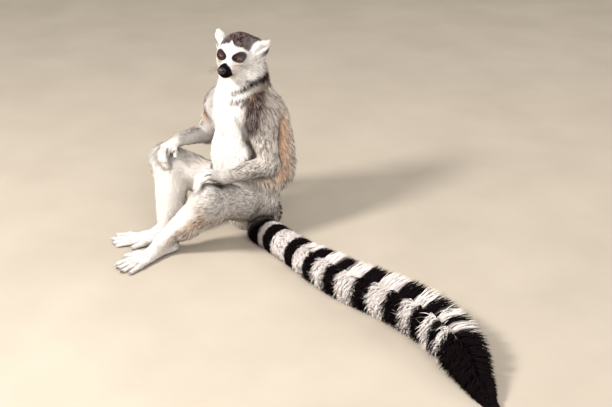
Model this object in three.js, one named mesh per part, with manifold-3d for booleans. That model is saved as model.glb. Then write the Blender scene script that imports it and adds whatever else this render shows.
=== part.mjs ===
// A ring-tailed lemur, life size, sitting upright with its knees drawn up, a hand on each knee and its
// tail laid out along the ground on its left.
//
// Millimetres. The animal faces -Y, its left is +X and up is +Z. The origin is the middle of the seat,
// on the ground. Each solid is the outline of one part of the body with its coat on.
//
// The body is described by fields: a field gives the distance from a point to a surface, negative inside.
// Tapered limbs and eggs are blended into chains, each chain is turned into facets, and plane cuts at the
// joints part it into the named solids. Where two chains press together, one is hollowed for the other.
import * as THREE from "three";
import Module from "manifold-3d";

const wasm = await Module();
wasm.setup();

const v = (x, y, z) => new THREE.Vector3(x, y, z);
const rad = THREE.MathUtils.degToRad;

// ---------------------------------------------------------------- driving dimensions, mm and degrees
const GAP = 0.35; // left between solids that touch
const FEMUR = 144;
const TIBIA = 110;
const FOOT = 118; // heel to the tip of the longest toe
const HUMERUS = 86;
const RADIUS = 88;
const HAND = 64; // wrist to the tip of the longest finger
const SIDES = ["left", "right"];
const SIGN = { left: 1, right: -1 };

const HIP = { left: v(18, 11, 52), right: v(-19, 1, 52) };
const ANKLE = { left: v(8, -168, 24), right: v(-33, -142, 24) };
const KNEE_POLE = { left: v(0.62, -0.05, 0.8), right: v(-0.4, -0.1, 0.95) };
const SHOULDER = { left: v(40, -4, 218), right: v(-40, -24, 214) };
const WRIST = { left: v(66, -86, 133), right: v(-52, -97, 163) };
const ELBOW_POLE = { left: v(0.1, 0.6, -0.75), right: v(-0.75, 0.8, -0.6) };
const FOOT_YAW = { left: 6, right: -28 }; // towards the animal's left
const HAND_ALONG = { left: v(-0.22, -0.85, 0.42), right: v(-0.05, -0.92, -0.38) };
const FINGER_CURL = { left: 95, right: 85 };

const EYES = v(25.7, -42.8, 311); // midway between the eyes
const HEAD_YAW = 33;
const HEAD_ROLL = 4;
const EYE_SPACING = 30.5;
const EYE_RADIUS = 7.6;
const EYE_DEPTH = 2.6; // the eye's middle, behind the front of the eyelids
const EAR_LENGTH = 36;

// ---------------------------------------------------------------- fields
// A limb that tapers from radius ra at a to rb at b.
function limb(a, b, ra, rb) {
  const line = b.clone().sub(a);
  const length2 = line.lengthSq();
  return (p) => {
    const along = (p.x - a.x) * line.x + (p.y - a.y) * line.y + (p.z - a.z) * line.z;
    const t = THREE.MathUtils.clamp(along / length2, 0, 1);
    const off = Math.hypot(p.x - a.x - t * line.x, p.y - a.y - t * line.y, p.z - a.z - t * line.z);
    return off - ra - (rb - ra) * t;
  };
}

// An egg with three radii, turned by a quaternion.
function egg(centre, radii, turn = new THREE.Quaternion()) {
  const back = turn.clone().invert();
  const q = v(0, 0, 0);
  return (p) => {
    q.copy(p).sub(centre).applyQuaternion(back);
    const k0 = Math.hypot(q.x / radii.x, q.y / radii.y, q.z / radii.z);
    const k1 = Math.hypot(q.x / radii.x ** 2, q.y / radii.y ** 2, q.z / radii.z ** 2);
    return k1 < 1e-9 ? -Math.min(radii.x, radii.y, radii.z) : (k0 * (k0 - 1)) / k1;
  };
}

// Fields run together, with fillets about k wide.
function blend(k, ...fields) {
  return (p) => {
    let d = fields[0](p);
    for (const field of fields.slice(1)) {
      const e = field(p);
      const h = Math.max(k - Math.abs(d - e), 0) / k;
      d = Math.min(d, e) - (h * h * k) / 4;
    }
    return d;
  };
}

// A field given in a frame of its own, at origin and turned.
function placed(field, origin, turn) {
  const back = turn.clone().invert();
  const q = v(0, 0, 0);
  return (p) => field(q.copy(p).sub(origin).applyQuaternion(back));
}

// ---------------------------------------------------------------- facets
// The surface of a field inside a box, as a closed solid of facets about step long in x, y and z. Each
// grid cell that the surface crosses gets one vertex, and each grid edge that it crosses gets one quad.
function solid(field, [low, high], step) {
  const axes = [0, 1, 2];
  const n = axes.map((c) => Math.ceil((high.getComponent(c) - low.getComponent(c)) / step[c]) + 3);
  const at = (i, j, k) => i + n[0] * (j + n[1] * k);
  const place = (i, j, k) =>
    v(low.x + (i - 1) * step[0], low.y + (j - 1) * step[1], low.z + (k - 1) * step[2]);
  const value = gridValues(field, n, at, place);
  openDiagonals(value, n, at);
  const unit = [[1, 0, 0], [0, 1, 0], [0, 0, 1]];
  const known = new Map();
  const corners = [];
  function vertexOf(i, j, k) {
    const key = at(i, j, k);
    if (known.has(key)) return known.get(key);
    const sum = v(0, 0, 0);
    let count = 0;
    for (const axis of axes)
      for (let side = 0; side < 4; side++) {
        const o = [i, j, k];
        o[(axis + 1) % 3] += side & 1;
        o[(axis + 2) % 3] += side >> 1;
        const a = value[at(...o)];
        const b = value[at(...o.map((c, m) => c + unit[axis][m]))];
        if (a < 0 === b < 0) continue;
        o[axis] += a / (a - b);
        sum.add(v(...o));
        count++;
      }
    sum.divideScalar(count);
    const p = place(sum.x, sum.y, sum.z);
    const rim = [i, j, k].some((c, m) => c === 0 || c === n[m] - 2);
    if (!rim) settle(p, field, Math.min(...step) / 2);
    corners.push(p.x, p.y, p.z);
    known.set(key, corners.length / 3 - 1);
    return known.get(key);
  }
  const between = (x, y) => Math.hypot(...axes.map((c) => corners[3 * x + c] - corners[3 * y + c]));
  const triangles = [];
  for (let k = 0; k < n[2] - 1; k++)
    for (let j = 0; j < n[1] - 1; j++)
      for (let i = 0; i < n[0] - 1; i++)
        for (const axis of axes) {
          const u = unit[axis];
          const inside = value[at(i, j, k)] < 0;
          if (inside === value[at(i + u[0], j + u[1], k + u[2])] < 0) continue;
          const s = unit[(axis + 1) % 3];
          const t = unit[(axis + 2) % 3];
          const ring = [[0, 0], [1, 0], [1, 1], [0, 1]].map(([x, y]) =>
            vertexOf(i - x * s[0] - y * t[0], j - x * s[1] - y * t[1], k - x * s[2] - y * t[2]));
          if (!inside) ring.reverse();
          if (between(ring[0], ring[2]) > between(ring[1], ring[3])) ring.push(ring.shift());
          triangles.push(ring[0], ring[1], ring[2], ring[0], ring[2], ring[3]);
        }
  return solidFrom(corners, triangles);
}

// The field at every grid point, with the outermost layer held outside so that the surface closes.
function gridValues(field, n, at, place) {
  const value = new Float64Array(n[0] * n[1] * n[2]);
  for (let k = 0; k < n[2]; k++)
    for (let j = 0; j < n[1]; j++)
      for (let i = 0; i < n[0]; i++) {
        const rim = [i, j, k].some((c, m) => c === 0 || c === n[m] - 1);
        value[at(i, j, k)] = rim ? 5 : field(place(i, j, k)) || -1e-6;
      }
  return value;
}

// Where the four corners of a grid face are in and out by turns, two sheets would share an edge, so the
// face's outer corners are taken in.
function openDiagonals(value, n, at) {
  const faces = [[[1, 0, 0], [0, 1, 0]], [[0, 1, 0], [0, 0, 1]], [[1, 0, 0], [0, 0, 1]]];
  for (let found = true; found; ) {
    found = false;
    for (let k = 1; k < n[2] - 2; k++)
      for (let j = 1; j < n[1] - 2; j++)
        for (let i = 1; i < n[0] - 2; i++)
          for (const [s, t] of faces) {
            const face = [[0, 0], [1, 0], [1, 1], [0, 1]].map(([x, y]) =>
              at(i + x * s[0] + y * t[0], j + x * s[1] + y * t[1], k + x * s[2] + y * t[2]));
            const inside = face.map((f) => value[f] < 0);
            if (inside[0] !== inside[2] || inside[1] !== inside[3] || inside[0] === inside[1]) continue;
            for (const f of face) if (value[f] >= 0) value[f] = -0.1;
            found = true;
          }
  }
}

// Moves p onto the surface, by at most reach.
function settle(p, field, reach) {
  const start = p.clone();
  const e = 0.05;
  for (let round = 0; round < 3; round++) {
    const d = field(p);
    const slope = v(
      field(v(p.x + e, p.y, p.z)) - field(v(p.x - e, p.y, p.z)),
      field(v(p.x, p.y + e, p.z)) - field(v(p.x, p.y - e, p.z)),
      field(v(p.x, p.y, p.z + e)) - field(v(p.x, p.y, p.z - e))).divideScalar(2 * e);
    if (slope.lengthSq() < 0.01) break;
    p.addScaledVector(slope, -d / slope.lengthSq());
  }
  const moved = p.clone().sub(start);
  if (moved.length() > reach) p.copy(start).add(moved.setLength(reach));
}

const solidFrom = (corners, triangles) =>
  new wasm.Manifold(new wasm.Mesh({
    numProp: 3,
    vertProperties: Float32Array.from(corners),
    triVerts: Uint32Array.from(triangles),
  }));

// The part of a solid on the side of a plane that axis points to, half the gap clear of the plane.
function keep(part, point, axis) {
  const big = 1600;
  const outward = axis.clone().normalize();
  const turn = new THREE.Quaternion().setFromUnitVectors(v(0, 0, 1), outward);
  const centre = point.clone().addScaledVector(outward, (big + GAP) / 2);
  const corners = [];
  for (let c = 0; c < 8; c++) {
    const corner = v((c & 1) - 0.5, ((c >> 1) & 1) - 0.5, (c >> 2) - 0.5).multiplyScalar(big);
    corners.push(...corner.applyQuaternion(turn).add(centre));
  }
  const quads = [[0, 2, 3, 1], [4, 5, 7, 6], [0, 1, 5, 4], [2, 6, 7, 3], [0, 4, 6, 2], [1, 3, 7, 5]];
  return part.intersect(solidFrom(corners, quads.flatMap(([a, b, c, d]) => [a, b, c, a, c, d])));
}

function geometryOf(part) {
  const mesh = part.getMesh();
  const geometry = new THREE.BufferGeometry();
  geometry.setAttribute("position", new THREE.BufferAttribute(Float32Array.from(mesh.vertProperties), 3));
  geometry.setIndex(new THREE.BufferAttribute(Uint32Array.from(mesh.triVerts), 1));
  geometry.computeVertexNormals();
  return geometry;
}

// A solid with each corner moved out, so that every facet clears the old one by about a given distance.
function inflated(part, by) {
  const { attributes, index } = geometryOf(part);
  const corner = (k) => v(0, 0, 0).fromBufferAttribute(attributes.position, index.array[k]);
  const steep = new Float32Array(attributes.position.count).fill(1);
  for (let t = 0; t < index.count; t += 3) {
    const face = corner(t + 1).sub(corner(t)).cross(corner(t + 2).sub(corner(t))).normalize();
    for (const k of [t, t + 1, t + 2]) {
      const lean = face.dot(v(0, 0, 0).fromBufferAttribute(attributes.normal, index.array[k]));
      steep[index.array[k]] = Math.min(steep[index.array[k]], Math.max(lean, 0.4));
    }
  }
  const moved = attributes.position.array.map((x, i) =>
    x + (attributes.normal.array[i] * by) / steep[Math.floor(i / 3)]);
  return solidFrom(moved, index.array);
}

// ---------------------------------------------------------------- where the middle joints are
// The middle joint of a two-bone limb: bone lengths a and b, bending towards pole.
function middleJoint(root, end, a, b, pole) {
  const line = end.clone().sub(root);
  const reach = line.length();
  line.normalize();
  const along = (a * a - b * b + reach * reach) / (2 * reach);
  const out = Math.sqrt(Math.max(a * a - along * along, 0));
  const side = pole.clone().addScaledVector(line, -pole.dot(line)).normalize();
  return root.clone().addScaledVector(line, along).addScaledVector(side, out);
}
const KNEE = {};
const ELBOW = {};
for (const side of SIDES) {
  KNEE[side] = middleJoint(HIP[side], ANKLE[side], FEMUR, TIBIA, KNEE_POLE[side]);
  ELBOW[side] = middleJoint(SHOULDER[side], WRIST[side], HUMERUS, RADIUS, ELBOW_POLE[side]);
}

// ---------------------------------------------------------------- the body's fields
const neckField = limb(v(4, 2, 222), v(12, -9, 288), 39, 34);
const throatField = limb(v(-6, -12, 228), v(3, -13, 268), 40, 32);
const trunkField = blend(20,
  egg(v(-5, 1, 43), v(50, 46, 53)),
  egg(v(0, 12, 104), v(58, 74, 50)),
  egg(v(0, 9, 150), v(57, 73, 55)),
  egg(v(1, 9, 198), v(53, 62, 45), new THREE.Quaternion().setFromAxisAngle(v(0, 0, 1), rad(12))),
  neckField,
  throatField);

// The head's own frame: the origin is midway between the eyes, and it faces -Y.
const headTurn = new THREE.Quaternion().setFromEuler(new THREE.Euler(0, rad(HEAD_ROLL), rad(HEAD_YAW), "ZYX"));
const headField = placed(
  blend(7,
    egg(v(0, 28, 3), v(31, 37, 29)),
    egg(v(0, 42, -16), v(34, 28, 27)),
    egg(v(0, 13, -7), v(26, 18, 21)),
    egg(v(21, 22, -12), v(13, 17, 19)),
    egg(v(-21, 22, -12), v(13, 17, 19)),
    egg(v(15.5, 8.5, 0), v(12, 11.5, 12)),
    egg(v(-15.5, 8.5, 0), v(12, 11.5, 12)),
    egg(v(17, 44, 4), v(19, 22, 19)),
    egg(v(-17, 44, 4), v(19, 22, 19)),
    limb(v(0, 6, -9), v(0, -25, -14), 14, 9.4),
    limb(v(0, 12, -22), v(0, -18, -21.5), 13, 6.8)),
  EYES, headTurn);
const headWithNeck = blend(9, headField, limb(v(4, 2, 222), v(12, -9, 284), 39, 32), throatField);
const noseField = placed(egg(v(0, -32.5, -11.5), v(6.4, 5, 5)), EYES, headTurn);
const inHead = (x, y, z) => v(x, y, z).applyQuaternion(headTurn).add(EYES);

const EAR_MIDDLE = { left: v(35, 26, 8), right: v(-31, 28, 10.5) }; // in the head's frame

function earField(side) {
  const sign = SIGN[side];
  const tilt = new THREE.Quaternion().setFromEuler(new THREE.Euler(rad(-10), rad(sign * 42), rad(sign * 30), "ZYX"));
  const middle = EAR_MIDDLE[side];
  const up = v(0, 0, 1).applyQuaternion(tilt);
  const shell = blend(5,
    egg(middle, v(13.5, 5.5, EAR_LENGTH / 2 + 1), tilt),
    limb(middle.clone().addScaledVector(up, 6), middle.clone().addScaledVector(up, EAR_LENGTH / 2 + 5), 6, 2.6));
  const cup = egg(middle.clone().add(v(sign * 3, -7, 2)), v(8, 6, EAR_LENGTH / 2 - 4), tilt);
  return placed((p) => Math.max(shell(p), -cup(p)), EYES, headTurn);
}

// A digit of two lengths, each bent about axis by half of curl from the one before.
function digit(base, direction, axis, long, curl, r) {
  const first = direction.clone().applyAxisAngle(axis, rad(curl / 2));
  const second = direction.clone().applyAxisAngle(axis, rad(curl));
  const middle = base.clone().addScaledVector(first, long * 0.52);
  const tip = middle.clone().addScaledVector(second, long * 0.48 - r);
  return blend(1.5, limb(base, middle, r * 1.05, r), limb(middle, tip, r, r * 0.85));
}

// A hand from its wrist, with the back of the hand towards up, and the thumb on the inner side.
function handField(wrist, direction, up, sign, curl) {
  const inward = direction.clone().cross(up).multiplyScalar(sign).normalize();
  const bend = inward.clone().multiplyScalar(-sign);
  const knuckles = wrist.clone().addScaledVector(direction, HAND * 0.42);
  const palm = blend(3,
    limb(wrist, knuckles.clone().addScaledVector(inward, 4), 9, 8),
    limb(wrist, knuckles.clone().addScaledVector(inward, -6), 9, 7));
  const fingers = [0.5, 0.57, 0.58, 0.5].map((share, i) => {
    const base = knuckles.clone().addScaledVector(inward, 9 - 6.4 * i);
    return digit(base, direction, bend, HAND * share, curl, 3.9);
  });
  const thumbAim = direction.clone().addScaledVector(inward, 0.9).addScaledVector(up, -0.35).normalize();
  const thumbBase = wrist.clone().addScaledVector(direction, 12).addScaledVector(inward, 5);
  return blend(3, palm, ...fingers, digit(thumbBase, thumbAim, bend, HAND * 0.4, 30, 4));
}

// A foot flat on the ground, from its ankle, heading yaw degrees to the animal's left.
function footField(ankle, yaw, sign) {
  const direction = v(Math.sin(rad(yaw)), -Math.cos(rad(yaw)), 0);
  const inward = v(direction.y, -direction.x, 0).multiplyScalar(sign);
  const axis = v(0, 0, 1).cross(direction);
  const on = (forward, side, z) =>
    v(ankle.x, ankle.y, z).addScaledVector(direction, forward).addScaledVector(inward, side);
  const ball = FOOT * 0.29;
  const sole = blend(4,
    limb(on(-FOOT * 0.14, 0, 10), on(ball, 0, 9.5), 11.5, 10),
    limb(ankle, on(22, 0, 12), 14, 10),
    limb(on(16, -3, 9), on(ball, -9, 8), 10, 7.5));
  const toes = [[8, 0.43], [1.5, 0.475], [-5, 0.49], [-12, 0.44]].map(([side, share]) => {
    const aim = direction.clone().addScaledVector(inward, side * 0.02).normalize();
    return digit(on(ball - 2, side, 7), aim, axis, FOOT * share, 6, 4.5);
  });
  const bigAim = direction.clone().addScaledVector(inward, 0.5).normalize();
  return blend(3.5, sole, ...toes, digit(on(ball * 0.45, 8, 7.5), bigAim, axis, FOOT * 0.4, 6, 5.2));
}

function legField(side) {
  const [hip, knee, ankle] = [HIP[side], KNEE[side], ANKLE[side]];
  const down = (share) => knee.clone().lerp(ankle, share);
  return blend(12,
    limb(hip, knee, 24, 25),
    limb(hip.clone().lerp(knee, 0.36), knee, 35, 26),
    limb(knee, ankle, 25, 15),
    limb(down(0.12).add(v(0, 12, -6)), down(0.64).add(v(0, 16, -4)), 29, 22),
    footField(ankle, FOOT_YAW[side], SIGN[side]));
}

const HAND_UP = v(0, 0, 1);
function armField(side) {
  const [shoulder, elbow, wrist] = [SHOULDER[side], ELBOW[side], WRIST[side]];
  const along = HAND_ALONG[side].clone().normalize();
  const up = HAND_UP.clone().addScaledVector(along, -HAND_UP.dot(along)).normalize();
  return blend(6,
    limb(shoulder, elbow, 28, 20),
    limb(elbow, wrist, 19, 12),
    handField(wrist, along, up, SIGN[side], FINGER_CURL[side]));
}

// The tail's middle line on the ground, from its root under the seat to its tip, and its radii.
const TAIL_LINE = new THREE.CatmullRomCurve3(
  [[-4, 36], [17, 13], [46, -6], [91, -8], [161, -9], [225, -8], [287, -1],
    [345, 12], [405, 21], [460, 19], [510, 8], [565, -11], [628, -34]].map(([x, y]) => v(x, y, 0)),
  false, "centripetal");
const TAIL_FLATNESS = 1.15; // width over height
const TAIL_SINK = 1.5; // how far its round underside would go below the ground
function tailRadius(share) {
  const thick = THREE.MathUtils.lerp(24, 36, THREE.MathUtils.smoothstep(share, 0.05, 0.75));
  return thick * (1 - 0.78 * THREE.MathUtils.smoothstep(share, 0.78, 1.02));
}
const tailPoints = TAIL_LINE.getSpacedPoints(40);
tailPoints.forEach((p, i) => p.setZ(tailRadius(i / 40) / TAIL_FLATNESS - TAIL_SINK));
function tailField(p) {
  let nearest = Infinity;
  for (let i = 0; i < 40; i++) {
    const a = tailPoints[i];
    const line = tailPoints[i + 1].clone().sub(a);
    const along = ((p.x - a.x) * line.x + (p.y - a.y) * line.y) / (line.x ** 2 + line.y ** 2);
    const t = THREE.MathUtils.clamp(along, 0, 1);
    const height = (p.z - a.z - t * line.z) * TAIL_FLATNESS;
    const off = Math.hypot(p.x - a.x - t * line.x, p.y - a.y - t * line.y, height);
    nearest = Math.min(nearest, off - tailRadius((i + t) / 40));
  }
  return nearest;
}

// ---------------------------------------------------------------- the solids
const made = {};

// The box round some points, wider by margin.
function around(points, margin) {
  const box = new THREE.Box3().setFromPoints(points);
  return [box.min.subScalar(margin), box.max.addScalar(margin)];
}

// The side of the joint at b that runs on to c, square to the bisector of the joint's two bones.
function onwards(a, b, c) {
  return b.clone().sub(a).normalize().add(c.clone().sub(b).normalize());
}
const reversed = (axis) => axis.clone().negate();

for (const side of SIDES) {
  const arm = armField(side);
  const [shoulder, elbow, wrist] = [SHOULDER[side], ELBOW[side], WRIST[side]];
  const pastElbow = onwards(shoulder, elbow, wrist);
  const pastWrist = wrist.clone().sub(elbow).normalize();
  const wristCut = wrist.clone().addScaledVector(pastWrist, -6);
  const upper = solid(arm, around([shoulder, elbow], 36), [16, 16, 16]);
  const lower = solid(arm, around([elbow, wrist], 32), [13, 14, 13]);
  const reach = wrist.clone().addScaledVector(HAND_ALONG[side], 46).add(v(0, 0, -12));
  const hand = solid(arm, around([wrist, reach], 32), [5.4, 7, 5.6]);
  made["upper_arm_" + side] = keep(upper, elbow, reversed(pastElbow));
  made["forearm_" + side] = keep(keep(lower, elbow, pastElbow), wristCut, reversed(pastWrist));
  made["hand_" + side] = keep(hand, wristCut, pastWrist);

  const leg = legField(side);
  const [hip, knee, ankle] = [HIP[side], KNEE[side], ANKLE[side]];
  const pastKnee = onwards(hip, knee, ankle);
  const pastAnkle = v(0, -0.45, -1);
  const ankleCut = ankle.clone().add(v(0, 0, 11));
  const thigh = solid(leg, around([hip, knee], 48), [20, 20, 20]);
  const shank = solid(leg, around([knee, ankle], 36), [15, 15, 16]);
  const yaw = rad(FOOT_YAW[side]);
  const toes = ankle.clone().add(v(FOOT * Math.sin(yaw), -FOOT * Math.cos(yaw) + 20, 0));
  const foot = solid(leg, around([ankle, toes], 34), [5.6, 10, 6]);
  made["thigh_" + side] = keep(thigh, knee, reversed(pastKnee));
  made["shank_" + side] = keep(keep(shank, knee, pastKnee), ankleCut, reversed(pastAnkle));
  made["foot_" + side] = keep(foot, ankleCut, pastAnkle);
}

const TAIL_PARTS = ["tail_base", "tail_middle", "tail_far", "tail_tip"];
const tail = solid(tailField, around(tailPoints, 44), [28, 19, 18]);
TAIL_PARTS.forEach((name, i) => {
  const cutAt = (share) => [TAIL_LINE.getPointAt(share), TAIL_LINE.getTangentAt(share)];
  made[name] = i === 0 ? tail : keep(tail, ...cutAt(i / TAIL_PARTS.length));
  if (i === TAIL_PARTS.length - 1) return;
  const [point, axis] = cutAt((i + 1) / TAIL_PARTS.length);
  made[name] = keep(made[name], point, reversed(axis));
});

const waist = [v(0, 10, 118), v(0, -0.12, 1)];
const collar = [v(4, -2, 236), v(0.06, -0.12, 1)];
const nape = [v(11, -10, 270), v(0.1, -0.3, 1)];
const torso = solid(trunkField, [v(-75, -75, -8), v(75, 95, 262)], [25, 25, 25]);
const throat = solid(trunkField, [v(-54, -62, 205), v(60, 52, 330)], [18, 18, 18]);
const head = solid(headWithNeck, [v(-46, -92, 245), v(82, 62, 372)], [9, 9, 9]);
made.rump = keep(torso, waist[0], reversed(waist[1]));
made.chest = keep(keep(torso, ...waist), collar[0], reversed(collar[1]));
made.neck = keep(keep(throat, ...collar), nape[0], reversed(nape[1]));
made.head = keep(head, ...nape);
made.nose = solid(noseField, around([inHead(0, -32.5, -11.5)], 8), [3, 3, 3]);
for (const side of SIDES) {
  const eyeCentre = inHead((SIGN[side] * EYE_SPACING) / 2, EYE_DEPTH, 0);
  const eye = egg(eyeCentre, v(EYE_RADIUS, EYE_RADIUS, EYE_RADIUS));
  made["eye_" + side] = solid(eye, around([eyeCentre], EYE_RADIUS + 2), [5, 5, 5]);
  const ear = around([inHead(SIGN[side] * 36, 30, 14)], EAR_LENGTH / 2 + 10);
  made["ear_" + side] = solid(earField(side), ear, [6, 6, 6.5]);
}

// Where parts press together, the first is hollowed to fit the others.
function hollow(name, others) {
  for (const other of others) made[name] = made[name].subtract(inflated(made[other], 2.5 * GAP));
}
const armParts = SIDES.flatMap((side) => ["upper_arm_" + side, "forearm_" + side, "hand_" + side]);
const legParts = SIDES.flatMap((side) => ["thigh_" + side, "shank_" + side, "foot_" + side]);
hollow("head", ["eye_left", "eye_right", "nose"]);
for (const side of SIDES) hollow("ear_" + side, ["head"]);
for (const name of legParts) hollow(name, [...armParts, "tail_base"]);
for (const name of legParts.slice(3)) hollow(name, legParts.slice(0, 3));
for (const name of ["rump", "chest", "neck"]) hollow(name, [...armParts, ...legParts, "tail_base"]);

// ---------------------------------------------------------------- the nodes
const coat = (color) => new THREE.MeshStandardMaterial({ color, roughness: 0.9 });
const GREY = coat(0x9a8d82);
const WHITE = coat(0xece5de);
const DARK = coat(0x2b1f22);
const EYE = new THREE.MeshStandardMaterial({ color: 0xa0521c, roughness: 0.1 });
const COLOURS = { eye: EYE, nose: DARK, tail: DARK, ear: WHITE, foot: WHITE, hand: WHITE, neck: WHITE };

const lemur = new THREE.Group();
for (const [name, whole] of Object.entries(made)) {
  const grounded = keep(whole, v(0, 0, -GAP / 2), v(0, 0, 1));
  const largest = grounded.decompose().sort((a, b) => b.volume() - a.volume())[0];
  const node = new THREE.Mesh(geometryOf(largest), COLOURS[name.split("_")[0]] ?? GREY);
  node.name = name;
  lemur.add(node);
}

export default lemur;
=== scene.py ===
"""A ring-tailed lemur, sitting upright with its knees drawn up and its ringed tail laid out on its left.

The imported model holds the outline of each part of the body. Here one skin replaces those parts, lying
inside them by the depth of the coat, and the coat is laid over the skin in tufts of solid mesh.
Lengths in the body's own description are in millimetres, and become metres where meshes are made.
"""

import functools
import itertools
import math

import bmesh
import bpy
import numpy as np
from mathutils import Matrix, Vector


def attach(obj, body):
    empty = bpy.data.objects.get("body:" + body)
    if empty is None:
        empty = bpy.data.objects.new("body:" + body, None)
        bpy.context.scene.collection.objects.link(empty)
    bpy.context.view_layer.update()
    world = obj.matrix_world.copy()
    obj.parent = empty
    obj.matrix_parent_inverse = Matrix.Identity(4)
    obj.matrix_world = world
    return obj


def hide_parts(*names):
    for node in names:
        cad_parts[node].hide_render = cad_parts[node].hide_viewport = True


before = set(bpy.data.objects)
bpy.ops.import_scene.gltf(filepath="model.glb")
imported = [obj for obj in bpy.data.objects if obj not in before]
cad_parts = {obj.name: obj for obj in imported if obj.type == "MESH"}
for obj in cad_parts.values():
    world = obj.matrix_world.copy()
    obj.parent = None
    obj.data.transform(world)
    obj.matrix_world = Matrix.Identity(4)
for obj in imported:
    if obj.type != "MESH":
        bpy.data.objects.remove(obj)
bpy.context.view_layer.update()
MM = 0.001
FLOOR_Z = 0.0

# ------------------------------------------------------------------ camera
CAMERA_AZIMUTH = math.radians(55.0)
CAMERA_ELEVATION = math.radians(25.0)
FOCAL_PX = 1105.0  # focal length in pixels of a frame 612 wide
FRAME_PX = (612.0, 407.0)
SEAT_PX = (250.0, 226.0)  # where the middle of the seat shows
SEAT_SCALE = 590.0  # pixels for each metre there


def make_camera():
    a, e = CAMERA_AZIMUTH, CAMERA_ELEVATION
    forward = Vector((-math.sin(a) * math.cos(e), math.cos(a) * math.cos(e), -math.sin(e)))
    right = Vector((math.cos(a), math.sin(a), 0.0))
    up = right.cross(forward)
    across = (SEAT_PX[0] - FRAME_PX[0] / 2) / FOCAL_PX
    down = (SEAT_PX[1] - FRAME_PX[1] / 2) / FOCAL_PX
    place = -(FOCAL_PX / SEAT_SCALE) * (forward + across * right - down * up)
    data = bpy.data.cameras.new("camera")
    data.sensor_width = 36.0
    data.lens = FOCAL_PX / FRAME_PX[0] * data.sensor_width
    camera = bpy.data.objects.new("camera", data)
    turn = Matrix((right, up, -forward)).transposed()
    camera.matrix_world = Matrix.Translation(place) @ turn.to_4x4()
    bpy.context.scene.collection.objects.link(camera)
    bpy.context.scene.camera = camera


make_camera()


# ------------------------------------------------------------------ the body's description, mm
FEMUR, TIBIA, FOOT = 144.0, 110.0, 118.0
HUMERUS, RADIUS, HAND = 86.0, 88.0, 64.0
SIDES = ("left", "right")
SIGN = {"left": 1.0, "right": -1.0}


def vec(*xyz):
    return np.array(xyz, float)


def unit(a):
    return a / max(np.linalg.norm(a), 1e-12)


def unit_rows(a):
    return a / np.maximum(np.linalg.norm(a, axis=1, keepdims=True), 1e-9)


def hump(x, width):
    """1 where x is 0, falling away over the width."""
    return np.exp(-(x / width) ** 2)


def share_along(p, a, line):
    """How far along a line from a each point is, from 0 to 1."""
    return np.clip((p - a) @ line / (line @ line), 0, 1)


def within(p, low, high):
    return np.all((p > low) & (p < high), axis=1)


HIP = {"left": vec(18, 11, 52), "right": vec(-19, 1, 52)}
ANKLE = {"left": vec(8, -168, 24), "right": vec(-33, -142, 24)}
KNEE_POLE = {"left": vec(0.62, -0.05, 0.8), "right": vec(-0.4, -0.1, 0.95)}
SHOULDER = {"left": vec(40, -4, 218), "right": vec(-40, -24, 214)}
WRIST = {"left": vec(66, -86, 133), "right": vec(-52, -97, 163)}
ELBOW_POLE = {"left": vec(0.1, 0.6, -0.75), "right": vec(-0.75, 0.8, -0.6)}
FOOT_YAW = {"left": math.radians(6), "right": math.radians(-28)}
HAND_ALONG = {"left": unit(vec(-0.22, -0.85, 0.42)), "right": unit(vec(-0.05, -0.92, -0.38))}
FINGER_CURL = {"left": math.radians(95), "right": math.radians(85)}
EYES = vec(25.7, -42.8, 311)  # midway between the eyes
HEAD_YAW, HEAD_ROLL = math.radians(33), math.radians(4)
EYE_SPACING, EYE_RADIUS, EYE_DEPTH = 30.5, 7.6, 2.6
EAR_LENGTH = 36.0


def turned(a, axis, angle):
    """a turned about a unit axis."""
    return (a * math.cos(angle) + np.cross(axis, a) * math.sin(angle)
            + axis * np.dot(axis, a) * (1 - math.cos(angle)))


def turn_zyx(x, y, z):
    """The rotation that turns about Z, then the new Y, then the new X."""
    cx, sx, cy, sy, cz, sz = (f(t) for t in (x, y, z) for f in (math.cos, math.sin))
    about_x = np.array([[1, 0, 0], [0, cx, -sx], [0, sx, cx]])
    about_y = np.array([[cy, 0, sy], [0, 1, 0], [-sy, 0, cy]])
    about_z = np.array([[cz, -sz, 0], [sz, cz, 0], [0, 0, 1]])
    return about_z @ about_y @ about_x


def middle_joint(root, end, a, b, pole):
    """The middle joint of a two-bone limb with bone lengths a and b, bending towards pole."""
    line = end - root
    reach = np.linalg.norm(line)
    line = line / reach
    along = (a * a - b * b + reach * reach) / (2 * reach)
    out = math.sqrt(max(a * a - along * along, 0))
    return root + line * along + unit(pole - line * np.dot(pole, line)) * out


KNEE = {s: middle_joint(HIP[s], ANKLE[s], FEMUR, TIBIA, KNEE_POLE[s]) for s in SIDES}
ELBOW = {s: middle_joint(SHOULDER[s], WRIST[s], HUMERUS, RADIUS, ELBOW_POLE[s]) for s in SIDES}
HEAD_TURN = turn_zyx(0, HEAD_ROLL, HEAD_YAW)


def in_head(p):
    """Points in the head's own frame, whose origin is midway between the eyes and which faces -Y."""
    return (p - EYES) @ HEAD_TURN


def from_head(p):
    return np.asarray(p, float) @ HEAD_TURN.T + EYES


class Limb:
    """A limb that tapers from radius ra at a to rb at b."""

    def __init__(self, a, b, ra, rb, coat):
        self.a, self.b, self.ra, self.rb, self.coat = a, b, ra, rb, coat
        self.line = b - a
        self.flow = unit(self.line)

    def distance(self, p):
        t = share_along(p, self.a, self.line)
        off = np.linalg.norm(p - self.a - t[:, None] * self.line, axis=1)
        return off - self.ra - (self.rb - self.ra) * t


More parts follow.
